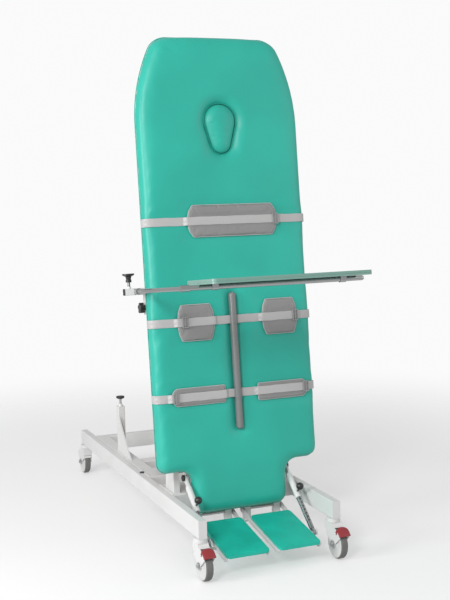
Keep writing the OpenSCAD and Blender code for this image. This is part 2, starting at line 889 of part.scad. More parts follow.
// Side bars of a footplate, the cross bar and the strut's lower pin with its cap
module foot_bars(side) {
    outer = plate_u + plate_w;
    pin_end = strut_u + lug_t / 2 + bar_gap + cap_t;
    color([0.88, 0.88, 0.88]) on_foot() {
        for (u = [plate_u - bar_t / 2, outer - bar_t / 2]) foot_bar(side, u);
        block_side(side,
            [plate_u + bar_t / 2, -strut_low_s - bar_h / 2, plate_m - bar_h],
            [outer - bar_t / 2, -strut_low_s + bar_h / 2, plate_m]);
        start = outer + bar_t / 2;
        translate([side * (start + pin_end) / 2, -strut_low_s, pin_m]) bar_x(pin_d, pin_end - start);
        translate([side * (pin_end - cap_t / 2), -strut_low_s, pin_m]) ring_x(cap_d, pin_d, cap_t);
    }
}
module block_side(side, low, high) {
    if (side > 0) block(low, high);
    else block([-high[0], low[1], low[2]], [-low[0], high[1], high[2]]);
}
// A flat bar on edge: an eye round the hinge rod, a neck and the stretch under the panel
module foot_bar(side, u) {
    length = plate_reach + plate_l;
    x = side > 0 ? u : -u - bar_t;
    eye = bar_h / 2 + seat * 3;
    translate([x, 0, 0]) rotate([90, 0, 90]) linear_extrude(bar_t) difference() {
        union() {
            circle(r = eye);
            polygon([
                [0, eye],
                [0, -eye],
                [-plate_reach, plate_m - bar_h],
                [-length + bar_h, plate_m - bar_h],
                [-length + bar_t, plate_m - bar_t],
                [-length + bar_t, plate_m],
                [-plate_reach + bar_t, plate_m]
            ]);
        }
        circle(d = rod_hinge_d + run_gap * 2);
    }
}

// Outer sleeve of a strut: a flat lug, the tube and the plunger's boss
module strut_sleeve(side) {
    bore = strut_rod_d + run_gap * 2;
    color([0.92, 0.92, 0.92]) on_strut(side) difference() {
        union() {
            translate([-lug_t / 2, 0, 0]) rotate([90, 0, 90]) linear_extrude(lug_t) {
                circle(d = lug_w);
                translate([-lug_l - bar_h, -lug_w / 2]) square([lug_l + bar_h, lug_w]);
            }
            translate([0, -lug_l, 0]) rotate([90, 0, 0]) cylinder(d = sleeve_d, h = sleeve_l - lug_l);
            translate([0, -knob_s, 0]) cylinder(d = pin_d * 1.6, h = sleeve_d / 2 + bar_gap);
        }
        bar_x(pin_d + run_gap * 2, lug_t + cut * 2);
        translate([0, -lug_l - bar_h, 0]) rotate([90, 0, 0]) cylinder(d = bore, h = sleeve_l);
        translate([0, -knob_s, 0]) cylinder(d = pin_d * 0.8 + run_gap * 2, h = sleeve_d);
    }
}
// Inner rod of a strut with its index holes and the flattened lower eye
module strut_rod(side) {
    start = strut_len - strut_rod_l;
    color([0.8, 0.81, 0.82]) on_strut(side) difference() {
        union() {
            translate([0, -start, 0]) rotate([90, 0, 0])
                cylinder(d = strut_rod_d, h = strut_rod_l - rod_eye_d / 2 - bar_gap);
            translate([-lug_t / 2, -strut_len, 0]) rotate([90, 0, 90]) linear_extrude(lug_t) {
                circle(d = rod_eye_d);
                translate([0, -lug_w / 3]) square([rod_eye_d, lug_w * 2 / 3]);
            }
        }
        translate([0, -strut_len, 0]) bar_x(pin_d + eye_play * 2, lug_t + cut * 2);
        for (i = [0:index_holes - 1]) {
            translate([0, -knob_s - index_pitch * i, -strut_rod_d])
                cylinder(d = index_d, h = strut_rod_d * 2);
        }
    }
}
strut_rod_l = 218;
index_holes = 9;
index_d = 8.4;
// Sprung plunger of a strut: the pin that enters an index hole, and its ball
module plunger(side) {
    tip = strut_rod_d / 2 + seat;
    color([0.2, 0.2, 0.2]) on_strut(side) translate([0, -knob_s, 0]) {
        translate([0, 0, tip]) cylinder(d = pin_d * 0.8, h = knob_stem - tip);
        translate([0, 0, knob_stem]) sphere(d = knob_d);
    }
}

// Clamp of the tray on the side rail, a block with a groove for the rail
clamp_gap = 0.3;
clamp_screw_d = 10;
clamp_out = rail_u + rail_t + clamp_gap + clamp_wall;
module tray_clamp() {
    y0 = clamp_back;
    y1 = clamp_back + clamp_h;
    v0 = clamp_v - clamp_under;
    v1 = arm_v + sleeve_w / 2;
    gap = clamp_gap;
    color([0.88, 0.88, 0.88]) on_table() difference() {
        block([-clamp_out, y0, v0], [-rail_u + clamp_lip, y1, v1]);
        block(
            [-rail_u - rail_t - gap, rail_back - rail_h / 2 - gap, v0 - cut],
            [-rail_u + gap, rail_back + rail_h / 2 + gap, v1 + cut]
        );
        block(
            [-rail_u - cut, rail_back - spacer_d / 2 - cut, v0 - cut],
            [-rail_u + clamp_lip + cut, rail_back + spacer_d / 2 + cut, v1 + cut]
        );
        translate([-rail_u - rail_t - clamp_wall / 2, rail_back, clamp_v])
            bar_x(clamp_screw_d + run_gap * 2, clamp_wall * 2);
    }
}
// Square sleeve for the arm, welded to a plate that reaches out from the clamp
module tray_bracket() {
    left = -arm_u - knob_in - sleeve_end;
    mouth = -arm_u - sleeve_mouth;
    back = rail_back + sleeve_w / 2;
    color([0.92, 0.92, 0.92]) on_table() difference() {
        union() {
            translate([left, rail_back, arm_v]) tube_x(sleeve_w, sleeve_w, sleeve_wall, mouth - left, sleeve_wall);
            block([left, back, arm_v - sleeve_w / 2], [-clamp_out, back + plate_back_t, arm_v + sleeve_w / 2]);
            translate([-arm_u - knob_in, rail_back, arm_v + sleeve_w / 2]) cylinder(d = boss_d, h = boss_h);
        }
        translate([-arm_u - knob_in, rail_back, arm_v + arm_d / 2])
            cylinder(d = screw_knob_d + run_gap * 2, h = sleeve_w);
    }
}
// Lobed knob of the clamp, with its screw
module clamp_knob() {
    x = clamp_out + seat;
    lobe = knob_clamp_d / 6;
    color([0.16, 0.16, 0.16]) on_table() translate([-x, rail_back, clamp_v]) rotate([0, -90, 0]) {
        translate([0, 0, -clamp_wall + clamp_gap]) cylinder(d = clamp_screw_d, h = clamp_wall + knob_clamp_t / 2);
        cylinder(d = knob_clamp_d * 0.5, h = knob_clamp_t / 2);
        translate([0, 0, knob_clamp_t * 0.3]) linear_extrude(knob_clamp_t * 0.7) union() {
            circle(d = knob_clamp_d * 0.72);
            for (i = [0:4]) rotate([0, 0, i * 72]) translate([knob_clamp_d / 2 - lobe, 0]) circle(r = lobe);
        }
    }
}
// Bent arm: a short leg in the sleeve, the long leg to the front and the cross bar
module arm_tube() {
    inside = -arm_u - knob_in - sleeve_end + sleeve_wall;
    color([0.8, 0.81, 0.82]) on_table() translate([0, 0, arm_v]) {
        translate([inside, rail_back, 0]) rotate([0, 90, 0]) cylinder(d = arm_d, h = -arm_u - inside);
        translate([-arm_u, rail_back, 0]) sphere(d = arm_d);
        translate([-arm_u, -arm_front, 0]) bar_y(arm_d, arm_front + rail_back);
        translate([-arm_u, rail_back - arm_d - collar_l, 0]) bar_y(elbow_d, collar_l);
        translate([-arm_u - elbow_d / 2, -arm_front, 0]) rotate([0, 90, 0]) cylinder(d = elbow_d, h = elbow_l);
        translate([-arm_u, -arm_front, 0]) rotate([0, 90, 0]) cylinder(d = arm_d, h = arm_l - arm_d / 2);
        translate([-arm_u + arm_l - arm_d / 2, -arm_front, 0]) sphere(d = arm_d);
    }
}
// Mushroom knob whose screw holds the arm in its sleeve
module arm_knob() {
    tip = arm_d / 2 + seat;
    color([0.16, 0.16, 0.16]) on_table() translate([-arm_u - knob_in, rail_back, arm_v]) {
        translate([0, 0, tip]) cylinder(d = screw_knob_d, h = knob_rise + post_d - tip);
        translate([0, 0, knob_rise]) cylinder(d = post_d * 2, h = post_d);
        translate([0, 0, knob_rise + post_d]) cylinder(d1 = post_d * 1.6, d2 = mushroom_d * 0.5, h = post_d);
        translate([0, 0, knob_rise + post_d * 2]) cylinder(d1 = mushroom_d * 0.5, d2 = mushroom_d, h = post_d / 2);
        translate([0, 0, knob_rise + post_d * 2.5]) cylinder(d = mushroom_d, h = post_d / 2);
    }
}
// Tray panel with a raised rim
module tray_panel() {
    low = arm_v + arm_d / 2 + seat;
    mid = tray_front + tray_l / 2;
    color([0.45, 0.57, 0.53]) on_table() translate([tray_u, -mid, low]) difference() {
        linear_extrude(tray_t) round_rect(tray_w, tray_l, tray_corner);
        translate([0, 0, tray_t - tray_dish]) linear_extrude(tray_t)
            round_rect(tray_w - tray_rim * 2, tray_l - tray_rim * 2, tray_corner - tray_rim / 2);
    }
}
tray_corner = 20;
tray_dish = 6;
tray_rim = 12;
// Two clips under the panel that turn on the cross bar
module tray_clips() {
    rise = arm_d / 2 + seat;
    color([0.8, 0.81, 0.82]) on_table() for (s = [-1, 1]) {
        translate([tray_u + s * (tray_w / 2 - clip_in), -arm_front, arm_v]) tray_clip(rise);
    }
}
module tray_clip(rise) {
    inner = arm_d + run_gap * 2;
    outer = inner + clip_t * 2;
    difference() {
        union() {
            bar_x(outer, clip_w);
            block([-clip_w / 2, -outer / 2, 0], [clip_w / 2, outer / 2, rise]);
        }
        bar_x(inner, clip_w + cut * 2);
        block([-clip_w, -outer, rise], [clip_w, outer, outer + rise]);
    }
}

// Actuator: tube, motor and rear eye
module on_actuator() {
    place() translate([0, actuator_y, actuator_z]) rotate([-actuator_rise, 0, 0]) children();
}
module actuator_body() {
    tube_l = actuator_len - actuator_front;
    color([0.3, 0.31, 0.32]) on_actuator() difference() {
        union() {
            translate([-rear_lug_t / 2, 0, 0]) rotate([90, 0, 90]) linear_extrude(rear_lug_t) {
                circle(d = rear_eye_d);
                translate([-rear_eye_d, -rear_eye_d / 2]) square([rear_eye_d, rear_eye_d]);
            }
            translate([0, -rear_eye_d, 0]) rotate([90, 0, 0])
                cylinder(d = actuator_d, h = tube_l - rear_eye_d);
            translate([motor_x, -rear_eye_d * 1.5, 0]) rotate([90, 0, 0]) cylinder(d = motor_d, h = motor_l);
            block(
                [-actuator_d / 2, -rear_eye_d * 2, -actuator_d / 2],
                [motor_x + motor_d / 2, -rear_eye_d, actuator_d / 2]
            );
        }
        bar_x(rear_pin_d + run_gap * 2, rear_lug_t + cut * 2);
        translate([0, -tube_l - cut, 0]) rotate([-90, 0, 0])
            cylinder(d = rod_d + run_gap * 2, h = actuator_bore_l + cut);
    }
}
// Rod of the actuator with the fork and pin that work the lever
module actuator_rod() {
    inner = lever_t / 2 + fork_gap;
    ear = inner + fork_ear;
    rod_l = actuator_bore_l - bar_gap + actuator_front - fork_depth;
    color([0.8, 0.81, 0.82]) on_actuator() translate([0, -actuator_len, 0]) {
        for (s = [-1, 1]) {
            x = s > 0 ? inner : -ear;
            translate([x, 0, 0]) rotate([90, 0, 90]) linear_extrude(fork_ear) {
                circle(d = fork_h);
                translate([0, -fork_h / 2]) square([fork_depth, fork_h]);
            }
        }
        bar_x(lever_pin_d, ear * 2 + cut);
        block([-ear, fork_depth - fork_ear, -fork_h / 2], [ear, fork_depth, fork_h / 2]);
        translate([0, fork_depth, 0]) bar_y(rod_d, rod_l);
    }
}

// Side rails of the base
module base_rails() {
    color([0.86, 0.86, 0.86]) place() for (s = [-1, 1]) {
        translate([s * base_x, 0, caster_h + base_h / 2])
            closed_tube_y(base_rail_w, base_h, base_wall, base_l, tube_r);
    }
}
module rear_crossbar() {
    color([0.86, 0.86, 0.86]) place() translate([-inner_face, rear_y + rear_w / 2, caster_h + base_h / 2])
        tube_x(rear_w, base_h, base_wall, inner_face * 2, tube_r);
}
// Platform between the rails that carries the uprights
module pivot_platform() {
    color([0.86, 0.86, 0.86]) place()
        translate([-inner_face, platform_y + platform_l / 2, caster_h + base_h / 2])
            tube_x(platform_l, base_h, base_wall, inner_face * 2, tube_r);
}
// Middle cross tube and the tube with the actuator's rear lugs
module mid_crossbeams() {
    beam_in = inner_face - inner_w;
    color([0.86, 0.86, 0.86]) place() {
        translate([-inner_face, mid_y + mid_l / 2, caster_h + base_h / 2])
            tube_x(mid_l, base_h, base_wall, inner_face * 2, tube_r);
        translate([-beam_in, actuator_y, caster_h + base_h / 2])
            tube_x(actuator_beam_w, base_h, base_wall, beam_in * 2, tube_r);
        for (s = [-1, 1]) {
            x = s > 0 ? rear_lug_t / 2 + fork_gap : -rear_lug_t * 3 / 2 - fork_gap;
            translate([x, actuator_y, 0]) rotate([90, 0, 90]) linear_extrude(rear_lug_t) {
                translate([0, actuator_z]) circle(d = rear_lug_w * 0.75);
                polygon([
                    [-rear_lug_w / 2, rail_top],
                    [rear_lug_w / 2, rail_top],
                    [rear_lug_w * 0.375, actuator_z],
                    [-rear_lug_w * 0.375, actuator_z]
                ]);
            }
        }
        translate([0, actuator_y, actuator_z]) bar_x(rear_pin_d, rear_lug_t * 3 + fork_gap * 4);
    }
}
// Long tubes inside the rails, from the middle cross tube to the rear one
module inner_beams() {
    y0 = mid_y + mid_l;
    color([0.86, 0.86, 0.86]) place() for (s = [-1, 1]) {
        translate([s * (inner_face - inner_w / 2), y0, caster_h + base_h / 2])
            tube_y(inner_w, base_h, base_wall, rear_y - y0, tube_r);
    }
}
// Uprights with the bores of the tilt shaft
module pivot_uprights() {
    bore = shaft_d + run_gap * 2;
    color([0.9, 0.9, 0.9]) place() for (s = [-1, 1]) {
        x = s > 0 ? upright_x : -upright_x - upright_w;
        translate([x, pivot_y, 0]) rotate([90, 0, 90]) linear_extrude(upright_w) difference() {
            union() {
                translate([0, pivot_z]) circle(d = upright_l * upright_head_share);
                polygon([
                    [-upright_l / 2, rail_top],
                    [upright_l / 2, rail_top],
                    [upright_l * upright_head_share / 2, pivot_z],
                    [-upright_l * upright_head_share / 2, pivot_z]
                ]);
            }
            translate([0, pivot_z]) circle(d = bore);
        }
    }
}
upright_head_share = 0.7;
// Posts that the level tabletop rests on, each with its curved gusset
module rest_posts() {
    x = inner_face - inner_w / 2;
    color([0.9, 0.9, 0.9]) place() for (s = [-1, 1]) translate([s * x, post_y, rail_top]) {
        translate([0, post_w / 2, 0]) {
            tube_z(post_w, post_w, frame_wall, post_h, tube_r);
            translate([0, 0, post_h]) post_cap_plate();
        }
        translate([s * (post_w - gusset_t) / 2, 0, 0]) gusset();
    }
}
module post_cap_plate() {
    difference() {
        union() {
            linear_extrude(post_cap) round_rect(post_w, post_w, tube_r);
            translate([0, 0, post_cap]) cylinder(d1 = post_w * 0.7, d2 = screw_d * 1.5, h = post_cap * 2);
        }
        translate([0, 0, -cut]) cylinder(d = screw_d, h = post_cap * 3 + cut * 2);
    }
}
gusset_h_share = 0.81;
gusset_t = 6;
gusset_bow = 1.25;
module gusset() {
    h = post_h * gusset_h_share;
    steps = corner_steps * 2;
    curve = [for (i = [0:steps]) let (t = i / steps)
        [-gusset_l * (1 - t), h * pow(t, gusset_bow)]];
    translate([-gusset_t / 2, 0, 0]) rotate([90, 0, 90]) linear_extrude(gusset_t)
        polygon(concat([[0, 0]], curve));
}
// Threaded stems of the rest buffers
module buffer_screws() {
    x = inner_face - inner_w / 2;
    low = rail_top + post_h;
    high = level_z - seat - buffer_h / 2;
    color([0.75, 0.76, 0.77]) place() for (s = [-1, 1]) translate([s * x, post_y + post_w / 2, low])
        cylinder(d = screw_d, h = high - low);
}
// Rubber discs on the posts and round plugs in the rails
module rubber_stops() {
    x = inner_face - inner_w / 2;
    z0 = level_z - seat - buffer_h;
    color([0.2, 0.2, 0.2]) place() for (s = [-1, 1]) {
        translate([s * x, post_y + post_w / 2, z0]) difference() {
            union() {
                translate([0, 0, buffer_h * 0.35]) cylinder(d = buffer_d, h = buffer_h * 0.65);
                cylinder(d1 = buffer_d * 0.6, d2 = buffer_d, h = buffer_h * 0.35);
            }
            translate([0, 0, -cut]) cylinder(d = screw_d, h = buffer_h / 2 + cut);
        }
        translate([s * (base_x - base_rail_w / 4), plug_y, rail_top]) cylinder(d1 = plug_d, d2 = plug_d * 0.8, h = plug_h);
    }
}
// Control box of the actuator, with its mains inlet
module control_box() {
    y0 = mid_y + (mid_l - box_size[1]) / 2;
    color([0.35, 0.36, 0.38]) place() {
        difference() {
            block([box_x, y0, rail_top], [box_x + box_size[0], y0 + box_size[1], rail_top + box_size[2]]);
            translate([box_x + box_size[0] / 2, y0 + box_size[1], rail_top + box_size[2] / 2])
                cube([inlet_size[0], inlet_size[1] * 2, inlet_size[2]], center = true);
        }
        for (i = [-1:1]) {
            translate([box_x + box_size[0] / 2 + i * inlet_size[0] / 4,
                y0 + box_size[1] - inlet_size[1], rail_top + box_size[2] / 2])
                bar_y(inlet_size[1] / 4, inlet_size[1] * 0.8);
        }
    }
}
// Sockets under the rails that hold the casters' stems
module caster_sockets() {
    color([0.88, 0.88, 0.88]) for (side = [-1, 1], back = [false, true]) on_caster(side, back) {
        translate([0, 0, caster_h - socket_h]) difference() {
            cylinder(d = socket_d, h = socket_h);
            translate([0, 0, -cut]) cylinder(d = stem_d + run_gap * 2, h = stem_l + seat + cut);
        }
    }
}
// Fork of a caster: a bridge, two hood plates, a curved skirt, the stem and the axle
module caster_fork(side, back) {
    top = caster_h - socket_h - seat;
    color([0.9, 0.9, 0.9]) on_caster(side, back) {
        translate([0, 0, top - hood_wall]) cylinder(d = stem_d, h = stem_l + hood_wall);
        for (s = [-1, 1]) {
            x = s > 0 ? hood_w / 2 - hood_wall : -hood_w / 2;
            translate([x, 0, 0]) rotate([90, 0, 90]) linear_extrude(hood_wall) hood_side(top);
        }
        translate([-hood_w / 2 + hood_wall, 0, 0]) rotate([90, 0, 90])
            linear_extrude(hood_w - hood_wall * 2) hood_roof(top);
        translate([0, -trail, wheel_d / 2]) bar_x(axle_d, hood_w + hood_wall * 2);
        if (back) translate([0, -socket_d / 2, top - hood_wall]) {
            translate([-tab_w / 2, -tab_l, 0]) cube([tab_w, tab_l + cut, hood_wall]);
            translate([0, -tab_l, 0]) cylinder(d = tab_w, h = hood_wall);
        }
        if (!back) translate([0, pedal_pin[0], pedal_pin[1]]) difference() {
            bar_x(pedal_pin_d, pedal_w + pedal_arm_t);
            bar_x(pedal_pin_d + cut, hood_w - hood_wall);
        }
    }
}
// Side view of a hood plate
module hood_side(top) {
    translate([-trail, wheel_d / 2]) circle(d = axle_d * 2.4);
    intersection() {
        translate([-trail, wheel_d / 2]) circle(r = hood_r);
        polygon([
            [socket_d / 2, top],
            [-socket_d / 2, top],
            [-trail - hood_r, wheel_d * 0.86],
            [-trail - axle_d * 1.1, wheel_d / 2],
            [-trail + axle_d * 1.1, wheel_d / 2],
            [socket_d * 0.45, wheel_d * 0.74]
        ]);
    }
    hood_neck(top);
}
// Side view of the neck under the bridge
module hood_neck(top) {
    translate([-socket_d / 2, top - hood_wall]) square([socket_d, hood_wall]);
    polygon([
        [socket_d / 2, top - hood_wall],
        [-socket_d / 2, top - hood_wall],
        [-socket_d * 0.9, wheel_d * 0.97],
        [-socket_d * 0.15, wheel_d * 0.8],
        [socket_d * 0.45, wheel_d * 0.85]
    ]);
}
// Side view of the roof between the plates, clear of the tyre
module hood_roof(top) {
    difference() {
        intersection() {
            translate([-trail, wheel_d / 2]) circle(r = hood_r + hood_wall);
            polygon([
                [socket_d / 2, top],
                [-socket_d / 2, top],
                [-trail - hood_r * 0.3, wheel_d * 0.9],
                [-trail, wheel_d / 2],
                [socket_d * 0.45, wheel_d * 0.74]
            ]);
        }
        translate([-trail, wheel_d / 2]) circle(r = hood_r - hood_wall / 4);
    }
    difference() {
        hood_neck(top);
        translate([-trail, wheel_d / 2]) circle(r = hood_r - hood_wall / 4);
    }
}
// Wheel disc with its hub and the bore for the axle
module caster_wheel(side, back) {
    color([0.8, 0.8, 0.8]) on_caster(side, back) translate([0, -trail, wheel_d / 2]) difference() {
        union() {
            bar_x(disc_d, disc_w);
            bar_x(axle_d * 2.2, hub_w);
        }
        bar_x(axle_d + run_gap * 2, hub_w + cut * 2);
        for (s = [-1, 1]) translate([s * disc_w / 2, 0, 0]) ring_x(disc_d * 0.84, axle_d * 3, disc_w * 0.3);
    }
}
// Tyre with a rounded tread
module caster_tyre(side, back) {
    r = wheel_d / 2;
    b = tyre_w / 2;
    crown = tyre_w * 0.2;
    color([0.39, 0.39, 0.38]) on_caster(side, back) translate([0, -trail, r]) rotate([0, 90, 0])
        rotate_extrude() difference() {
            translate([disc_d / 2, -b]) square([r - disc_d / 2, tyre_w]);
            for (s = [-1, 1]) translate([r - crown, s * (b - crown)]) difference() {
                translate([0, s > 0 ? 0 : -crown - cut]) square(crown + cut);
                circle(r = crown);
            }
        }
}
// Red brake pedal over the wheel: a curved pad on two arms that turn on pins of the hood
pedal_clear = 12;
pedal_pin_r = 60;
pedal_pin_a = 120;
pedal_pin_d = 6;
pedal_pin = [-trail + pedal_pin_r * cos(pedal_pin_a), wheel_d / 2 + pedal_pin_r * sin(pedal_pin_a)];
pedal_arm_t = 2.5;
pedal_arc = [112, 144];
pedal_steps = 12;
module brake_pedal(side) {
    arm_x = pedal_w / 2 - pedal_arm_t;
    color([0.63, 0.22, 0.24]) on_caster(side, false) {
        translate([-pedal_w / 2, 0, 0]) rotate([90, 0, 90]) linear_extrude(pedal_w)
            pedal_sector(pedal_arc[0], pedal_arc[1], pedal_t);
        for (x = [-pedal_w / 2, arm_x]) translate([x, 0, 0]) rotate([90, 0, 90])
            linear_extrude(pedal_arm_t) pedal_arm();
    }
}
// A ring sector round the wheel's axle, between two angles
module pedal_sector(from, to, t) {
    inner = wheel_d / 2 + pedal_clear;
    axle = [-trail, wheel_d / 2];
    polygon(concat(
        arc(axle, inner, from, to, pedal_steps),
        arc(axle, inner + t, to, from, pedal_steps)
    ));
}
module pedal_arm() {
    mid = (pedal_arc[0] + pedal_arc[1]) / 2;
    axle = [-trail, wheel_d / 2];
    difference() {
        union() {
            translate(pedal_pin) circle(d = pedal_pin_d * 2);
            polygon(concat(
                [pedal_pin + [pedal_pin_d * 0.8, 0], pedal_pin - [pedal_pin_d * 0.6, pedal_pin_d * 0.7]],
                arc(axle, wheel_d / 2 + pedal_clear + pedal_t / 2, mid, pedal_arc[0], pedal_steps)
            ));
        }
        translate(pedal_pin) circle(d = pedal_pin_d + run_gap * 2);
    }
}

base_rails();
rear_crossbar();
pivot_platform();
mid_crossbeams();
inner_beams();
pivot_uprights();
rest_posts();
buffer_screws();
rubber_stops();
control_box();
caster_sockets();
caster_fork(-1, false);  // caster_fork_fl
caster_fork(1, false);  // caster_fork_fr
caster_fork(-1, true);  // caster_fork_rl
caster_fork(1, true);  // caster_fork_rr
caster_wheel(-1, false);  // caster_wheel_fl
caster_wheel(1, false);  // caster_wheel_fr
caster_wheel(-1, true);  // caster_wheel_rl
caster_wheel(1, true);  // caster_wheel_rr
caster_tyre(-1, false);  // caster_tyre_fl
caster_tyre(1, false);  // caster_tyre_fr
caster_tyre(-1, true);  // caster_tyre_rl
caster_tyre(1, true);  // caster_tyre_rr
brake_pedal(-1);  // brake_pedal_left
brake_pedal(1);  // brake_pedal_right
cushion();
board();
frame_side_tubes();
frame_cross_tubes();
tilt_shaft();
tilt_lever();
side_rails();
strut_brackets();
foot_hangers();
hinge_rods();
straps();
pads();
strap_hardware();
divider_bar();
face_plug();
tray_clamp();
tray_bracket();
clamp_knob();
arm_tube();
arm_knob();
tray_panel();
tray_clips();
footplate(-1);  // footplate_left
footplate(1);  // footplate_right
foot_bars(-1);  // foot_bars_left
foot_bars(1);  // foot_bars_right
strut_sleeve(-1);  // strut_sleeve_left
strut_sleeve(1);  // strut_sleeve_right
strut_rod(-1);  // strut_rod_left
strut_rod(1);  // strut_rod_right
plunger(-1);  // plunger_left
plunger(1);  // plunger_right
actuator_body();
actuator_rod();
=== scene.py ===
"""Looks of an upright padded tilt table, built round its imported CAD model."""

import json
import math

import bmesh
import bpy
from bpy.props import FloatProperty, FloatVectorProperty, IntProperty, PointerProperty
from mathutils import Matrix, Vector


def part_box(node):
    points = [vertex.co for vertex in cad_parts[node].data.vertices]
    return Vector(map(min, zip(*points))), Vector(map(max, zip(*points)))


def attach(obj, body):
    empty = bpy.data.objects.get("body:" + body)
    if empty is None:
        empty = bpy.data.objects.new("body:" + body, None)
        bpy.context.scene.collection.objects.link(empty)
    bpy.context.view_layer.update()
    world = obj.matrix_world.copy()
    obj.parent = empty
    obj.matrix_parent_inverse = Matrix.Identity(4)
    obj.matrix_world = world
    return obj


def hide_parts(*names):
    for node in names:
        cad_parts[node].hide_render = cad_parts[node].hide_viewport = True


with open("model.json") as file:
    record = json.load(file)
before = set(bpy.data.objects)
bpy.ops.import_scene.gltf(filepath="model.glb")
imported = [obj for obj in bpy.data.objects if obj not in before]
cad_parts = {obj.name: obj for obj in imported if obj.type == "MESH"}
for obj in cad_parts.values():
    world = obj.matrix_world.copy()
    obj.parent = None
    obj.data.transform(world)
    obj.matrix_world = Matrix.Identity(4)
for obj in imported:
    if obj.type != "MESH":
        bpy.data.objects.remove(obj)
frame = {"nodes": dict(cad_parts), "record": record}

bl_info = {
    "name": "Tilt table looks",
    "version": (1, 0, 0),
    "blender": (4, 5, 0),
    "location": "View3D > Sidebar > Tilt table",
    "description": "Builds the padding, straps, trim, materials and stage of a tilt table",
    "category": "Object",
}

NODES = frame["nodes"]
# Sides of the table and of a wheel or a pin, with their sign across
SIDES = (("left", -1), ("right", 1))
ENDS = (("a", -1), ("b", 1))
# The base's own frame: x across from its middle, y back from the front of its rails
ORIGIN_X = -0.0393
ORIGIN_Y = 0.789733
BASE = Matrix.Translation((-ORIGIN_X, -ORIGIN_Y, 0))
# The tabletop's own frame: x across, -y in front of the cushion's back face, z along it
LEAN = math.radians(5.83)
TABLE_Y = 0.3056
TABLE = Matrix.Translation((-ORIGIN_X, TABLE_Y - ORIGIN_Y, 0)) @ Matrix.Rotation(-LEAN, 4, "X")
TO_TABLE = TABLE.inverted()
ALONG = TABLE.to_3x3() @ Vector((0, 0, 1))
BACKWARD = TABLE.to_3x3() @ Vector((0, 1, 0))
# The footplates' own frame, at their hinge rod
FOOT_TILT = math.radians(15.53)
FOOT = TABLE @ Matrix.Translation((0, 0.035, 0.147)) @ Matrix.Rotation(FOOT_TILT, 4, "X")
# Sizes shared with the CAD, in metres
CUSHION_T = 0.056
HALF_W = 0.364
BOARD_INSET = 0.014
BOARD_T = 0.018
STRAP_W = 0.035
STRAP_T = 0.0018
STRAP_CLEAR = 0.0006
STRAP_V = (1.387, 0.970, 0.660)
PAD_T = 0.012
SEAT = 0.0003
# Distance in from the cushion's edge and height over the board
SECTION = (
    (0.004, 0.0), (0.0, 0.0056), (0.0, 0.0308), (0.0034, 0.04256), (0.00952, 0.049),
    (0.0204, 0.0532), (0.0408, 0.05516), (0.09, 0.056),
)
# The groove under the divider: its half width and the middles of its round ends
GROOVE_R = 0.0145
GROOVE_V = (0.519, 1.071)
DIVIDER_V = (0.49, 1.10)
# The face hole: its two circles, the distance between them and its middle
HOLE_TOP_V = 1.808
HOLE_TOP_R = 0.070
HOLE_LOW_R = 0.046
HOLE_GAP = 0.092
HOLE_V = 1.785
# Middle, half length and half height of each pad, and its nose lengths
PADS = (
    ((0.022, 1.387), (0.205, 0.066), (0.026, 0.026)),
    ((-0.170, 0.967), (0.082, 0.075), (0.018, 0.018)),
    ((0.211, 0.970), (0.082, 0.075), (0.018, 0.018)),
    ((-0.178, 0.662), (0.120, 0.036), (0.022, 0.002)),
    ((0.207, 0.655), (0.117, 0.036), (0.002, 0.022)),
)
# Square tubes behind the board: side tubes with their ends, hangers and the arm's sleeve
TUBE_U = 0.200
TUBE_Y = 0.038
TUBE_D = 0.040
TUBE_LOW_V = 0.252
TUBE_TOP_V = 2.070
HANGER_U = (0.044, 0.183)
HANGER_Y = 0.035
HANGER_V = 0.097
HANGER_D = 0.030
SLEEVE_D = 0.028
SLEEVE_Y = 0.0375
SLEEVE_END_U = -0.441
# Outer end of the right strut's upper pin: across, front distance, along
STRUT_PIN = (0.2423, -0.022, 0.315)
# The tray's arm, the mushroom knob on its sleeve, and the tray with its clips
ARM_V = 1.110
ARM_D = 0.020
KNOB_U = -0.420
KNOB_BOSS = 0.0222
TRAY_U = -0.004
TRAY_N = 0.550
TRAY_W = 0.654
TRAY_L = 0.280
TRAY_T = 0.018
TRAY_DISH = 0.006
TRAY_CORNER = 0.020
CLIP_IN = 0.060
CLIP_SCREW = 0.009
# A foot mat, in the footplates' own frame
MAT_X = 0.1135
MAT_Y = -0.2425
MAT_TOP = 0.0130
MAT_W = 0.166
MAT_L = 0.274
MAT_CORNER = 0.016
# The base's rails, and where the cross members between them start and end
BASE_X = 0.2935
BASE_L = 1.776
RAIL_W = 0.035
RAIL_TOP = 0.236
CROSS_MEMBERS = ((0.384, 0.568), (0.700, 0.850), (1.568, 1.608))
# Right end of the tilt shaft, and the actuator's rear and front pins as y and z
SHAFT_END = (0.2713, 0.45661, 0.465)
ACTUATOR_REAR = (1.010, 0.300)
ACTUATOR_FRONT = (0.574706, 0.342712)
ACTUATOR_L = 0.437386
# Casters: their side and whether they are at the back; the axles lie past the rails' ends
CASTERS = {"fl": (-1, False), "fr": (1, False), "rl": (-1, True), "rr": (1, True)}
AXLE_OUT = 0.008
AXLE_Z = 0.0625
FORK_HALF_W = 0.0265
# The pin of a brake pedal, round its wheel's axle
PEDAL_PIN_R = 0.060
PEDAL_PIN_DEGREES = 120
# Depth and width of the valleys in the cushion's cover and at the plug's edge
GROOVE_DIP = (0.0105, 0.042)
HOLE_DIP = (0.0135, 0.046)
PLUG_DIP = (0.0135, 0.050)
# Up to this height over the board a cover is sewn down
SEWN_N = 0.012


def clamp(value):
    """The value, kept from 0 to 1."""
    return max(0.0, min(1.0, value))


def local(point):
    """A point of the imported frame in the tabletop's own: across, front distance, along."""
    p = TO_TABLE @ point
    return p.x, -p.y, p.z


def on_table(u, n, v):
    """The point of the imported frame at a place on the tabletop, the reverse of local."""
    return TABLE @ Vector((u, -n, v))


# Shader maths

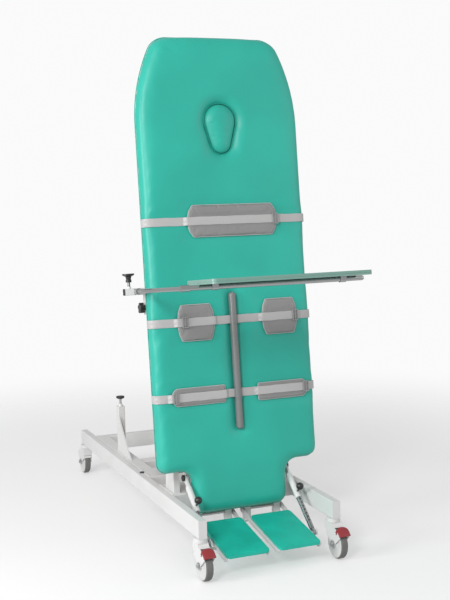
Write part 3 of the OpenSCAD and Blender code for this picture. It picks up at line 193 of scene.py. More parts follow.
def operators(operation):
    """An operator that makes a Math node, and its reflected form."""
    return (
        lambda self, other: self.shader.math(operation, self, other),
        lambda self, other: self.shader.math(operation, other, self),
    )


class Val:
    """A shader value whose operators make Math nodes."""

    def __init__(self, shader, socket):
        self.shader = shader
        self.socket = socket

    __add__, __radd__ = operators("ADD")
    __sub__, __rsub__ = operators("SUBTRACT")
    __mul__, __rmul__ = operators("MULTIPLY")
    __pow__, __rpow__ = operators("POWER")

    def sin(self):
        return self.shader.math("SINE", self)

    def smooth(self, low, high):
        """0 below low, 1 above high, smooth between."""
        return self.shader.value(
            "Result", "ShaderNodeMapRange", {"interpolation_type": "SMOOTHSTEP"},
            {"Value": self, "From Min": low, "From Max": high})


class Shader:
    """One material's node tree."""

    def __init__(self, name):
        self.material = bpy.data.materials.new(name)
        self.material.use_nodes = True
        self.tree = self.material.node_tree
        self.tree.nodes.clear()
        self.surface = self.node("ShaderNodeBsdfPrincipled")
        output = self.node("ShaderNodeOutputMaterial")
        self.tree.links.new(self.surface.outputs["BSDF"], output.inputs["Surface"])
        self.place = self.value("Object", "ShaderNodeTexCoord")
        parts = self.node("ShaderNodeSeparateXYZ", {}, {"Vector": self.place})
        self.x, self.y, self.z = (Val(self, parts.outputs[axis]) for axis in "XYZ")

    def node(self, kind, settings=None, inputs=None):
        """A node of a type, with its settings and the values or links of its sockets."""
        made = self.tree.nodes.new(kind)
        for key, value in (settings or {}).items():
            setattr(made, key, value)
        for key, value in (inputs or {}).items():
            self.feed(made.inputs[key], value)
        return made

    def value(self, output, kind, settings=None, inputs=None):
        """One output of a new node."""
        return Val(self, self.node(kind, settings, inputs).outputs[output])

    def feed(self, socket, value):
        if isinstance(value, Val):
            self.tree.links.new(value.socket, socket)
        else:
            socket.default_value = value

    def math(self, operation, *values):
        return self.value("Value", "ShaderNodeMath", {"operation": operation}, dict(enumerate(values)))

    def finish(self, **values):
        """Feeds the surface's sockets and gives the material."""
        for key, value in values.items():
            self.feed(self.surface.inputs[key.replace("_", " ")], value)
        return self.material

    def stretch(self, scale):
        return self.value("Vector", "ShaderNodeMapping", {}, {"Vector": self.place, "Scale": scale})

    def noise(self, scale, detail=3.0, rough=0.5, vector=None):
        return self.value(
            "Fac", "ShaderNodeTexNoise", {},
            {"Vector": vector or self.place, "Scale": scale, "Detail": detail, "Roughness": rough})

    def cells(self, scale):
        return self.value("Distance", "ShaderNodeTexVoronoi", {}, {"Vector": self.place, "Scale": scale})

    def mix(self, factor, first, second):
        made = self.node("ShaderNodeMix", {"data_type": "RGBA"})
        sockets = [s for s in made.inputs if s.enabled]
        for socket, value in zip(sockets, (factor, first, second)):
            self.feed(socket, value)
        return Val(self, next(s for s in made.outputs if s.enabled))

    def bump(self, height, strength, distance, **under):
        inputs = {"Height": height, "Strength": strength, "Distance": distance, **under}
        return self.value("Normal", "ShaderNodeBump", {}, inputs)

    def edge_wear(self, radius):
        """1 on sharp edges, 0 on faces."""
        bent = self.value("Normal", "ShaderNodeBevel", {"samples": 4}, {"Radius": radius})
        flat = self.value("Normal", "ShaderNodeNewGeometry")
        dot = self.value("Value", "ShaderNodeVectorMath", {"operation": "DOT_PRODUCT"}, {0: bent, 1: flat})
        return (1.0 - dot).smooth(0.02, 0.2)


def tint(color, share=1.0):
    """A colour made lighter or darker, with its alpha."""
    return (*(min(1.0, c * share) for c in color[:3]), 1.0)


# Materials

def vinyl(name, color, grain=1.0, rough=0.42):
    """Synthetic leather: fine pebbled grain, faint folds and a soft sheen."""
    s = Shader(name)
    broad = s.noise(3.2, 2.0)
    fine = s.noise(420.0, 2.0)
    pebble = s.cells(900.0)
    folds = s.noise(9.0, 1.5, 0.4)
    base = s.mix(broad.smooth(0.35, 0.68), tint(color, 0.95), tint(color, 1.05))
    soft = s.bump(folds, 0.22, 0.004)
    return s.finish(
        Base_Color=s.mix(pebble.smooth(0.35, 0.8) * 0.14, base, tint(color, 0.72)),
        Roughness=rough + (fine - 0.5) * 0.14 + (broad - 0.5) * 0.06,
        Specular_IOR_Level=0.46,
        Sheen_Weight=0.05,
        Sheen_Roughness=0.5,
        Normal=s.bump(0.65 * (1.0 - pebble) + 0.35 * fine, 0.16 * grain, 0.0006, Normal=soft),
    )


def painted(name, color, rough=0.36, wear=0.5):
    """Powder coat: orange-peel skin, faint cloudy tone and slightly rubbed edges."""
    s = Shader(name)
    peel = s.noise(620.0, 1.0)
    cloud = s.noise(6.0, 3.0)
    rub = s.edge_wear(0.0016) * (s.noise(38.0, 3.0).smooth(0.48, 0.72) * wear)
    base = s.mix(cloud.smooth(0.38, 0.7), tint(color), tint(color, 0.95))
    return s.finish(
        Base_Color=s.mix(rub, base, tint(color, 0.6)),
        Roughness=rough + 0.1 * (cloud - 0.5) + 0.12 * rub,
        Specular_IOR_Level=0.5,
        Normal=s.bump(peel, 0.09, 0.0005),
    )


def metal(name, color, rough, streak, along):
    """Bare or plated metal, with streaks along one direction where it is brushed."""
    s = Shader(name)
    fine = s.noise(260.0, 3.0, 0.6, s.stretch(along))
    haze = s.noise(14.0, 3.0)
    return s.finish(
        Base_Color=s.mix(haze.smooth(0.4, 0.75) * 0.35, tint(color), tint(color, 0.82)),
        Metallic=1.0,
        Roughness=rough + streak * (fine - 0.5) + 0.06 * (haze - 0.4),
        Normal=s.bump(fine, 0.05 + 0.1 * streak, 0.0002),
    )


def plastic(name, color, rough, texture=0.3, scale=700.0):
    """Moulded plastic with a fine spark-eroded skin."""
    s = Shader(name)
    grain = s.noise(scale, 2.0)
    cloud = s.noise(22.0, 2.0)
    scuff = s.noise(90.0, 4.0, 0.7).smooth(0.62, 0.78)
    pale = tint([c + 0.03 for c in color], 1.25)
    return s.finish(
        Base_Color=s.mix(scuff * 0.25 + (cloud - 0.5) * 0.2, tint(color), pale),
        Roughness=rough + 0.1 * (grain - 0.5) + 0.1 * scuff,
        Normal=s.bump(grain, 0.12 * texture, 0.0005),
    )


def rubber(name, color):
    """Black rubber with dust on it."""
    s = Shader(name)
    dust = s.noise(30.0, 4.0, 0.65)
    grain = s.noise(500.0, 2.0)
    dusty = tint([c + 0.05 for c in color], 1.2)
    return s.finish(
        Base_Color=s.mix(dust.smooth(0.45, 0.8) * 0.5, tint(color), dusty),
        Roughness=0.62 + 0.2 * (dust - 0.5),
        Normal=s.bump(grain, 0.1, 0.0005),
    )


def tyre_rubber(name, color):
    """Grey wheel rubber: lathe lines round the tread and dust on its crown."""
    s = Shader(name)
    lines = (s.x * 5200.0).sin()
    dust = s.noise(45.0, 4.0, 0.7)
    return s.finish(
        Base_Color=s.mix(dust.smooth(0.4, 0.75) * 0.6, tint(color), tint(color, 1.35)),
        Roughness=0.6 + 0.2 * (dust - 0.5),
        Normal=s.bump(lines * 0.4 + dust, 0.12, 0.0004),
    )


def webbing(name, color):
    """Woven strap: ribs across it and warp cords along it."""
    s = Shader(name)
    ribs = (s.x * 3100.0 + s.y * 3100.0).sin()
    warp = (s.z * 4200.0).sin()
    weave = ribs * 0.5 + warp * 0.35 + s.noise(800.0, 2.0) * 0.5
    shade = s.noise(16.0, 3.0)
    return s.finish(
        Base_Color=s.mix(weave.smooth(-0.6, 1.0), tint(color, 0.8), tint(color, 1.1)),
        Roughness=0.66 + 0.14 * (shade - 0.5),
        Sheen_Weight=0.18,
        Sheen_Roughness=0.4,
        Normal=s.bump(weave, 0.3, 0.0007),
    )


def plywood(name, color):
    """Birch ply: long grain and fine fibres."""
    s = Shader(name)
    grain = s.noise(14.0, 5.0, 0.6, s.stretch((9.0, 9.0, 0.7)))
    fibre = s.noise(120.0, 3.0, 0.6, s.stretch((3.0, 3.0, 0.2)))
    return s.finish(
        Base_Color=s.mix(grain.smooth(0.35, 0.7), tint(color, 1.06), tint(color, 0.78)),
        Roughness=0.5 + 0.15 * (fibre - 0.5),
        Normal=s.bump(fibre, 0.12, 0.0006),
    )


def laminate(name, color):
    """Tray laminate: fine speckle under a hard satin face."""
    s = Shader(name)
    speck = s.cells(380.0).smooth(0.1, 0.34)
    haze = s.noise(9.0, 3.0)
    return s.finish(
        Base_Color=s.mix(1.0 - speck, tint(color), tint(color, 0.86)),
        Roughness=0.3 + 0.1 * (haze - 0.5),
        Coat_Weight=0.25,
        Coat_Roughness=0.18,
        Normal=s.bump(s.noise(300.0, 1.0), 0.05, 0.0004),
    )


def ribbed_mat(name, color):
    """Foot mat: fine close ribs with pebbled rubber between them."""
    s = Shader(name)
    pebble = s.cells(520.0)
    tone = s.noise(12.0, 3.0)
    return s.finish(
        Base_Color=s.mix(tone.smooth(0.35, 0.7), tint(color, 0.94), tint(color, 1.06)),
        Roughness=0.5 + 0.14 * (tone - 0.5),
        Specular_IOR_Level=0.4,
        Normal=s.bump((1.0 - pebble) * 0.6 + (s.y * 2900.0).sin() * 0.3, 0.14, 0.0006),
    )


def seam_thread(name, color):
    """Sewing thread: a tight spiral of two plies."""
    s = Shader(name)
    twist = ((s.x + s.z) * 5200.0).sin()
    return s.finish(
        Base_Color=s.mix(twist.smooth(-0.8, 0.8), tint(color, 0.8), tint(color)),
        Roughness=0.6 + 0.05 * twist,
        Normal=s.bump(twist, 0.2, 0.0003),
    )


MATERIALS = {}


def finishes(paint):
    """The materials that the CAD nodes and the trim share, by slot and made once."""
    if not MATERIALS:
        for name, make, *values in (
            ("frame_paint", painted, paint.white, 0.34),
            ("base_paint", painted, paint.base, 0.38),
            ("caster_paint", painted, paint.white, 0.3, 0.7),
            ("chrome", metal, (0.46, 0.465, 0.47), 0.13, 0.08, (0.3, 3.0, 3.0)),
            ("zinc_steel", metal, (0.56, 0.57, 0.58), 0.34, 0.12, (1, 1, 1)),
            ("rail_steel", metal, (0.6, 0.61, 0.62), 0.32, 0.25, (4.0, 4.0, 0.15)),
            ("buckle_plastic", plastic, (0.27, 0.27, 0.272), 0.32),
            ("divider_plastic", plastic, (0.175, 0.18, 0.18), 0.22),
            ("plywood", plywood, (0.62, 0.47, 0.3)),
            ("black_rubber", rubber, (0.02, 0.02, 0.02)),
            ("box_plastic", plastic, (0.06, 0.063, 0.07), 0.48, 0.9, 420.0),
            ("actuator_dark", painted, (0.05, 0.052, 0.056), 0.42, 0.3),
            ("knob_plastic", plastic, (0.022, 0.022, 0.022), 0.34, 0.4),
            ("tray_laminate", laminate, paint.tray),
            ("pedal_red", plastic, paint.pedal, 0.36),
            ("wheel_plastic", plastic, (0.58, 0.58, 0.57), 0.42),
            ("tyre", tyre_rubber, (0.125, 0.125, 0.12)),
            ("foot_cover", ribbed_mat, paint.mat),
        ):
            MATERIALS[name] = make(name, *values)
    return MATERIALS


# Shapes, each as its vertices and its faces

def angles(count):
    """Angles spread evenly round a circle."""
    return [2 * math.pi * i / count for i in range(count)]


def circle(r, h, count):
    """A ring of points about local Z, at a height."""
    return [Vector((r * math.cos(a), r * math.sin(a), h)) for a in angles(count)]


def hoop(middle, r, side, up, count):
    """A ring of points in the plane of two directions."""
    return [middle + r * (math.cos(a) * side + math.sin(a) * up) for a in angles(count)]


def rings_mesh(rings, cap=True):
    """Vertices and faces through rings of equal length."""
    n = len(rings[0])
    verts = [p for ring in rings for p in ring]
    faces = []
    for k in range(len(rings) - 1):
        for i in range(n):
            a, b = k * n + i, k * n + (i + 1) % n
            faces.append((a, b, b + n, a + n))
    if cap:
        last = len(verts) - n
        faces.append(tuple(range(n - 1, -1, -1)))
        faces.append(tuple(range(last, last + n)))
    return verts, faces


def joined(shapes):
    """Several shapes as one."""
    verts, faces = [], []
    for more, more_faces in shapes:
        faces += [tuple(i + len(verts) for i in face) for face in more_faces]
        verts += more
    return verts, faces


def sweep(path, radius, segments=10, closed=False):
    """Round tube along points."""
    points = [Vector(p) for p in path]
    count = len(points)
    rings = []
    side = None
    for i, p in enumerate(points):
        before = points[(i - 1) % count] if closed or i else p
        after = points[(i + 1) % count] if closed or i < count - 1 else p
        along = (after - before).normalized()
        if side is None:
            side = along.orthogonal().normalized()
        side = (side - along * side.dot(along)).normalized()
        rings.append(hoop(p, radius, side, along.cross(side), segments))
    if closed:
        rings.append(rings[0])
    return rings_mesh(rings, cap=not closed)


def weld(a, b, z):
    """A rippled weld bead between two places on the base."""
    thin, thick, pitch = 0.0021, 0.0026, 0.0028
    start, end = Vector((*a, z)), Vector((*b, z))
    ahead = (end - start).normalized()
    side = ahead.orthogonal().normalized()
    steps = 2 * max(3, int((end - start).length / pitch))
    return rings_mesh([
        hoop(start.lerp(end, k / steps), thick if k % 2 else thin, side, ahead.cross(side), 8)
        for k in range(steps + 1)
    ])


# Outlines and frames

def arc(cx, cy, r, start, end, steps):
    """Points on a circle from one angle to another, with both ends."""
    turns = [start + (end - start) * i / steps for i in range(steps + 1)]
    return [(cx + r * math.cos(t), cy + r * math.sin(t)) for t in turns]


def rounded_loop(cx, cy, half_x, half_y, r, z, steps=8):
    """Points round a level rectangle with rounded corners."""
    path = []
    for k, (sx, sy) in enumerate(((1, 1), (-1, 1), (-1, -1), (1, -1))):
        start = k * math.pi / 2
        corner = arc(cx + sx * (half_x - r), cy + sy * (half_y - r), r, start, start + math.pi / 2, steps)
        path += [Vector((x, y, z)) for x, y in corner]
    return path


def rounded(points, radius, steps=5):
    """A closed outline with its corners rounded."""
    result = []
    count = len(points)
    for i in range(count):
        p = Vector(points[i])
        a = Vector(points[i - 1]) - p
        b = Vector(points[(i + 1) % count]) - p
        cut = min(radius, a.length * 0.45, b.length * 0.45)
        start, end = p + a.normalized() * cut, p + b.normalized() * cut
        for k in range(steps + 1):
            t = k / steps
            q = start.lerp(p, t).lerp(p.lerp(end, t), t)
            result.append((q.x, q.y))
    return result


def egg(d, steps=40):
    """Outline of the face hole, drawn in by d: two circles and their tangents."""
    a = -math.asin((HOLE_TOP_R - HOLE_LOW_R) / HOLE_GAP)
    top = arc(0, HOLE_TOP_V, HOLE_TOP_R - d, a, math.pi - a, steps)
    low = arc(0, HOLE_TOP_V - HOLE_GAP, HOLE_LOW_R - d, math.pi - a, 2 * math.pi + a, int(steps * 0.75))
    return top[:-1] + low[:-1]


def outline(d, steps=14):
    """Outline of the cushion, drawn in by d: notched foot end, long sides that bow in to the head."""
    foot_u, foot_v, notch_v, notch_r, head_v = 0.210, 0.165, 0.350, 0.055, 2.165
    side_r, side_end = 0.700, 0.371
    foot_r, hip_r, head_r = 0.040 - d, 0.042 - d, 0.085 - d
    rise = side_end - d - head_r
    reach = side_r - d - head_r
    run = math.sqrt(reach * reach - rise * rise)
    turn = math.atan2(rise, run)
    cx, cv = HALF_W - side_r, head_v - side_end
    half = math.pi / 2
    right = (
        arc(foot_u - d - foot_r, foot_v + d + foot_r, foot_r, -half, 0, steps)
        + arc(foot_u + notch_r, notch_v - notch_r, notch_r + d, math.pi, half, steps)
        + arc(HALF_W - d - hip_r, notch_v + d + hip_r, hip_r, -half, 0, steps)
        + arc(cx, cv, side_r - d, 0, turn, steps * 2)
        + arc(cx + run, cv + rise, head_r, turn, half, steps)
    )
    return right + [(-u, v) for u, v in reversed(right)]


def pad_outline(pad, d):
    """Outline of a pad with its two blunt noses, drawn in by d."""
    (cu, cv), (length, height), (left, right) = pad
    l, h = length - d, height - d
    nose_u, nose_v = 0.35, 0.62
    low = [
        (-l, 0), (-l + left * nose_u, -h * nose_v), (-l + left, -h),
        (l - right, -h), (l - right * nose_u, -h * nose_v), (l, 0),
    ]
    return [(cu + a, cv + b) for a, b in low + [(a, -b) for a, b in low[-2:0:-1]]]


def face_height(edge):
    """Height of the cushion's face over the board at a distance in from its edge."""
    if edge <= 0.0:
        return SECTION[2][1]
    for (d0, h0), (d1, h1) in zip(SECTION[2:], SECTION[3:]):
        if edge <= d1:
            return h0 + (h1 - h0) * (edge - d0) / (d1 - d0)
    return SECTION[-1][1]


def stitches(line, pitch, length):
    """Start and end of every stitch along a closed line."""
    points = [Vector(p) for p in line] + [Vector(line[0])]
    total = sum((b - a).length for a, b in zip(points, points[1:]))

    def at(distance):
        distance %= total
        for a, b in zip(points, points[1:]):
            step = (b - a).length
            if distance <= step:
                return a.lerp(b, distance / step if step else 0)
            distance -= step
        return points[-1]

    return [(at(k * pitch), at(k * pitch + length)) for k in range(int(total / pitch))]


def facing(point, direction, spin=0.0):
    """A frame at a point whose Z is a direction."""
    turn = Vector(direction).normalized().to_track_quat("Z", "Y").to_matrix().to_4x4()
    return Matrix.Translation(Vector(point)) @ turn @ Matrix.Rotation(spin, 4, "Z")


# Pieces

def linked(name, data):
    """A new object in the scene."""
    obj = bpy.data.objects.new(name, data)
    bpy.context.scene.collection.objects.link(obj)
    return obj


def add_mesh(name, shape, material, matrix=None):
    """A smooth mesh object of a shape."""
    verts, faces = shape
    data = bpy.data.meshes.new(name)
    data.from_pydata([tuple(v) for v in verts], [], faces)
    if matrix is not None:
        data.transform(matrix)
    data.validate()
    fix = bmesh.new()
    fix.from_mesh(data)
    bmesh.ops.recalc_face_normals(fix, faces=fix.faces)
    fix.to_mesh(data)
    fix.free()
    data.polygons.foreach_set("use_smooth", [True] * len(data.polygons))
    data.materials.append(material)
    return linked(name, data)


def add_piece(name, shape, body, slot, material=None, matrix=None, split=None):
    """A piece that rides on a body; edges sharper than split, in degrees, are kept hard."""
    obj = add_mesh(name, shape, material or MATERIALS[slot], matrix)
    if split:
        edges = obj.modifiers.new("edges", "EDGE_SPLIT")
        edges.split_angle = math.radians(split)
        edges.use_edge_sharp = False
    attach(obj, body)
    return obj


def lathe(name, profile, matrix, slot, body, segments=40, split=35.0, ring=False):
    """A turned piece: profile is (radius, height) from bottom to top, about local Z."""
    rings = [circle(r, h, segments) for r, h in profile]
    if ring:
        rings.append(rings[0])
    return add_piece(name, rings_mesh(rings, cap=not ring), body, slot, matrix=matrix, split=split)


def hex_bolt(name, matrix, across, height, body):
    """A hex head with a chamfered crown, on a washer."""
    r = across / math.sqrt(3.0)
    washer = height * 0.2
    head = [(0.9, 0.0), (1.0, 0.12), (1.0, 0.86), (0.84, 1.0)]
    disc = [(0.85, 0.0), (0.85, 0.8), (0.8, 1.0)]
    shape = joined([
        rings_mesh([circle(r * share, washer + height * h, 6) for share, h in head]),
        rings_mesh([circle(across * share, washer * h, 28) for share, h in disc]),
    ])
    return add_piece(name, shape, body, "zinc_steel", matrix=matrix, split=28.0)


def dome_screw(name, matrix, d, h, body):
    """A low round head with a dimple for its recess."""
    shares = [(1.0, 0.0), (1.0, 0.2), (0.86, 0.62), (0.55, 0.92), (0.3, 1.0), (0.24, 0.6)]
    profile = [(d / 2 * r, h * z) for r, z in shares] + [(0.0001, h * 0.5)]
    return lathe(name, profile, matrix, "zinc_steel", body, 28, 50.0)


# Soft pieces. What a function of a place gets is u, n, v: across, front distance, along.

def bake(obj):
    """The object's modifiers become its mesh."""
    bpy.context.view_layer.update()
    graph = bpy.context.evaluated_depsgraph_get()
    data = bpy.data.meshes.new_from_object(obj.evaluated_get(graph), depsgraph=graph)
    obj.modifiers.clear()
    obj.data = data


def remeshed(data, name, size):
    """A closed solid as an even quad skin."""
    obj = linked(name, data)
    skin = obj.modifiers.new("skin", "REMESH")
    skin.mode = "VOXEL"
    skin.voxel_size = size
    bake(obj)
    return obj


def inflate(obj, hold, pressure, reach, frames=20):
    """Cloth under inner pressure; hold gives 0 to 1 at a place, and reach caps its movement."""
    rest = [v.co.copy() for v in obj.data.vertices]
    held = [hold(*local(p)) for p in rest]
    group = obj.vertex_groups.new(name="held")
    for i, weight in enumerate(held):
        if weight > 0.0:
            group.add([i], weight, "REPLACE")
    cloth = obj.modifiers.new("cloth", "CLOTH")
    for key, value in {
        "quality": 4,
        "mass": 0.25,
        "tension_stiffness": 18.0,
        "compression_stiffness": 18.0,
        "shear_stiffness": 8.0,
        "bending_stiffness": 0.6,
        "use_pressure": True,
        "uniform_pressure_force": pressure,
        "shrink_min": -0.012,
        "vertex_group_mass": "held",
    }.items():
        setattr(cloth.settings, key, value)
    cloth.settings.effector_weights.gravity = 0.0
    cloth.collision_settings.use_collision = False
    cloth.point_cache.frame_start = 1
    cloth.point_cache.frame_end = frames
    scene = bpy.context.scene
    for step in range(1, frames + 1):
        scene.frame_set(step)
    bake(obj)
    scene.frame_set(1)
    for v, before, weight in zip(obj.data.vertices, rest, held):
        move = v.co - before
        limit = reach * (1.0 - weight)
        if move.length > limit:
            move = move * (limit / move.length)
        v.co = before + move


def soften(obj, steps, factor=0.5, share=None):
    """Evens the mesh; share gives how much at a place, from 0 to 1."""
    smooth = obj.modifiers.new("soften", "SMOOTH")
    if share:
        group = obj.vertex_groups.new(name="softened")
        for v in obj.data.vertices:
            group.add([v.index], share(*local(v.co)), "REPLACE")
        smooth.vertex_group = "softened"
    smooth.factor = factor
    smooth.iterations = steps
    bake(obj)


def shaped(obj, move):
    """Moves each point across, to the front and along, as move gives for its place."""
    turn = TABLE.to_3x3()
    for vertex in obj.data.vertices:
        du, dn, dv = move(*local(vertex.co))
        vertex.co += turn @ Vector((du, -dn, dv))


def finish_soft(obj, material, body, nodes):
    """A soft piece with its finish, for the CAD nodes that it stands for."""
    fine = obj.modifiers.new("fine", "SUBSURF")
    fine.levels = 1
    fine.render_levels = 1
    bake(obj)
    obj.data.materials.clear()
    obj.data.materials.append(material)
    obj.data.polygons.foreach_set("use_smooth", [True] * len(obj.data.polygons))
    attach(obj, body)
    if nodes:
        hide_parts(*nodes)


def head_pull(u, v):
    """How far the cover's tension draws in the head's corners, across and along."""
    if v <= 1.9:
        return 0.0, 0.0
    corner = Vector((0.250, 2.142))
    near = math.exp(-((Vector((abs(u), v)) - corner).length / 0.085) ** 2)
    return math.copysign(-0.0062 * near, u), -0.0078 * near


def valley(gap, deep, width):
    """Depth of the dip in a cover beside a seam or a piece pressed in it."""
    return deep * clamp(1.0 - gap / width) ** 2.2


def near_front(n):
    """0 up to 20 mm over the board, 1 from 50 mm on."""
    return clamp((n - 0.020) / 0.030)


HOLE = egg(0.0, steps=24)


def hole_gap(u, v):
    """Distance to the face hole's outline."""
    best = 1.0
    for (au, av), (bu, bv) in zip(HOLE, HOLE[1:] + HOLE[:1]):
        du, dv = bu - au, bv - av
        t = clamp(((u - au) * du + (v - av) * dv) / (du * du + dv * dv + 1e-12))
        best = min(best, math.hypot(u - au - t * du, v - av - t * dv))
    return best


def near_band(u, v, margin):
    """1 under a strap, pad or the divider, falling to 0 within the margin."""
    gaps = [abs(v - strap_v) - STRAP_W / 2 for strap_v in STRAP_V]
    gaps += [max(abs(u - cu) - length, abs(v - cv) - height) for (cu, cv), (length, height), _ in PADS]
    if DIVIDER_V[0] < v < DIVIDER_V[1]:
        gaps.append(abs(u) - 0.018)
    return clamp(1.0 - min(gaps) / margin)


def cushion_roll(u, n, v):
    """1 in the cushion's front half, where its edge is rolled."""
    return clamp((n - 0.014) / 0.014)


def cushion_dips(u, n, v):
    """The valleys at the divider and the face hole, and the drawn-in head corners."""
    across, along = head_pull(u, v)
    dip = 0.0
    if near_front(n) > 0.0:
        low, high = GROOVE_V
        dip = valley(math.hypot(u, v - max(low, min(high, v))) - GROOVE_R, *GROOVE_DIP)
        if math.hypot(u, v - HOLE_V) < 0.16:
            dip = max(dip, valley(hole_gap(u, v), *HOLE_DIP))
    return across, -dip * near_front(n), along


def cushion_hold(u, n, v):
    """1 at the board, under the straps, pads and divider and round the face hole."""
    if n < SEWN_N:
        return 1.0
    held_r, fade = 0.105, 0.02
    return max(near_band(u, v, 0.03), clamp((held_r - math.hypot(u, v - HOLE_V)) / fade))


def cushion_rim(u, n, v):
    """1 along the long sides and the head, 0 on the rest of the face."""
    side_u, head_v, fade = 0.27, 2.02, 0.04
    return 0.0 if n < SEWN_N else clamp(max(abs(u) - side_u, v - head_v) / fade)


def plug_dips(u, n, v):
    """The dome of the face plug, which falls to its edge."""
    return 0.0, -valley(hole_gap(u, v), *PLUG_DIP) * near_front(n), 0.0


def pad_solid(pad):
    """One pad's solid out of the pads' CAD node."""
    (cu, cv), (length, height), _ = pad
    margin = 0.010
    data = bmesh.new()
    data.from_mesh(NODES["pads"].data)
    others = []
    for vertex in data.verts:
        u, _, v = local(vertex.co)
        if abs(u - cu) > length + margin or abs(v - cv) > height + margin:
            others.append(vertex)
    bmesh.ops.delete(data, geom=others, context="VERTS")
    bmesh.ops.remove_doubles(data, verts=data.verts, dist=1e-6)
    mesh = bpy.data.meshes.new("pad_solid")
    data.to_mesh(mesh)
    data.free()
    return mesh


# Options

def color_option(name, description, default):
    return FloatVectorProperty(
        name=name, description=description, subtype="COLOR", size=3, default=default)


def length_option(name, description, default):
    return FloatProperty(name=name, description=description, unit="LENGTH", default=default)


def power_option(name, description, default):
    return FloatProperty(name=name, description=description, subtype="POWER", default=default)


class CushionOptions(bpy.types.PropertyGroup):
    color: color_option("Cover", "Colour of the cushion's cover", (0.018, 0.400, 0.315))
    skin: length_option("Skin size", "Size of the skin's quads", 0.008)
    roll: IntProperty(
        name="Edge roll", description="Steps of smoothing that round the cushion's edge", default=16)
    reach: length_option("Bulge", "Furthest that the foam pushes the cover out", 0.0035)
    pressure: FloatProperty(
        name="Pressure", description="Pressure of the foam on its cover", default=4.0)


class PadOptions(bpy.types.PropertyGroup):
    color: color_option("Cover", "Colour of the pads", (0.235, 0.232, 0.232))
    piping: color_option("Piping", "Colour of the pads' piping", (0.48, 0.46, 0.46))
    skin: length_option("Skin size", "Size of the skin's quads", 0.0035)
    reach: length_option("Bulge", "Furthest that the filling pushes the cover out", 0.003)
    cord: length_option("Piping radius", "Radius of the piping", 0.0016)


class StrapOptions(bpy.types.PropertyGroup):
    color: color_option("Webbing", "Colour of the straps", (0.46, 0.45, 0.45))
    steps: IntProperty(name="Steps", description="Points along each strap", default=260)


class PaintOptions(bpy.types.PropertyGroup):
    white: color_option("White", "Colour of the painted frame", (0.66, 0.66, 0.655))
    base: color_option("Base", "Colour of the painted base", (0.64, 0.64, 0.636))
    tray: color_option("Tray", "Colour of the tray", (0.18, 0.33, 0.28))
    pedal: color_option("Pedals", "Colour of the brake pedals", (0.27, 0.028, 0.034))
    mat: color_option("Foot mats", "Colour of the footplates", (0.009, 0.450, 0.345))


class StageOptions(bpy.types.PropertyGroup):
    key: power_option("Key", "Strength of the key light", 150.0)
    fill: power_option("Fill", "Strength of the fill light", 30.0)
    side: power_option("Side", "Strength of the side light", 120.0)
    sky: FloatProperty(name="Surround", description="Strength of the white surround", default=0.55)
    lens: FloatProperty(
        name="Lens", description="Focal length of the camera", subtype="DISTANCE_CAMERA", default=64.77)


# Operators

class OBJECT_OT_tilt_table_frame(bpy.types.Operator):
    """Gives every hard CAD node its procedural finish"""

    bl_idname = "object.tilt_table_frame"
    bl_label = "Finish the frame"

    def execute(self, context):
        made = finishes(context.scene.tilt_paint)
        for part in frame["record"]["subparts"]:
            materials = NODES[part["node"]].data.materials
            if part["material_slot"] in made:
                materials.clear()
                materials.append(made[part["material_slot"]])
        self.keepers(NODES["strap_hardware"], made["divider_plastic"])
        return {"FINISHED"}

    def keepers(self, hardware, divider):
        """The divider's keepers take the divider's plastic; the buckles keep their own."""
        hardware.data.materials.append(divider)
        for face in hardware.data.polygons:
            u, _, v = local(hardware.matrix_world @ face.center)
            face.material_index = int(abs(u) < 0.03 and v < 1.3)


class OBJECT_OT_tilt_table_cushion(bpy.types.Operator):
    """Builds the long cushion under its cover, with its welt"""

    bl_idname = "object.tilt_table_cushion"
    bl_label = "Build the cushion"

    def execute(self, context):
        options = context.scene.tilt_cushion
        cover = vinyl("cushion_vinyl", options.color)
        obj = remeshed(NODES["cushion"].data.copy(), "cushion_soft", options.skin)
        soften(obj, 3)
        soften(obj, options.roll, share=cushion_roll)
        shaped(obj, cushion_dips)
        inflate(obj, cushion_hold, options.pressure, options.reach)
        soften(obj, 2, 0.4)
        soften(obj, options.roll, share=cushion_rim)
        finish_soft(obj, cover, "table", ["cushion"])
        self.welt(cover)
        return {"FINISHED"}

    def welt(self, cover):
        """A sewn welt round the cushion's back edge."""
        path = []
        for u, v in outline(-0.0004):
            across, along = head_pull(u, v)
            path.append(on_table(u + across, 0.0072, v + along))
        add_piece("cushion_welt", sweep(path, 0.0021, closed=True), "table", "cushion_cover", cover)


class OBJECT_OT_tilt_table_plug(bpy.types.Operator):
    """Builds the plug of the face hole and the stitched ring round it"""

    bl_idname = "object.tilt_table_plug"
    bl_label = "Build the face plug"

    def execute(self, context):
        options = context.scene.tilt_cushion
        cover = vinyl("plug_vinyl", [c * 0.97 for c in options.color])
        obj = remeshed(NODES["face_plug"].data.copy(), "face_plug_soft", 0.0035)
        soften(obj, 3)
        shaped(obj, plug_dips)
        inflate(obj, lambda u, n, v: clamp((0.054 - n) / 0.010), options.pressure * 1.4, 0.004)
        soften(obj, 6, share=lambda u, n, v: float(n > 0.046))
        finish_soft(obj, cover, "face_plug", ["face_plug"])
        ring = sweep([on_table(u, 0.0400, v) for u, v in egg(-0.0032)], 0.0016, closed=True)
        add_piece("face_hole_piping", ring, "table", "cushion_cover", cover)
        return {"FINISHED"}


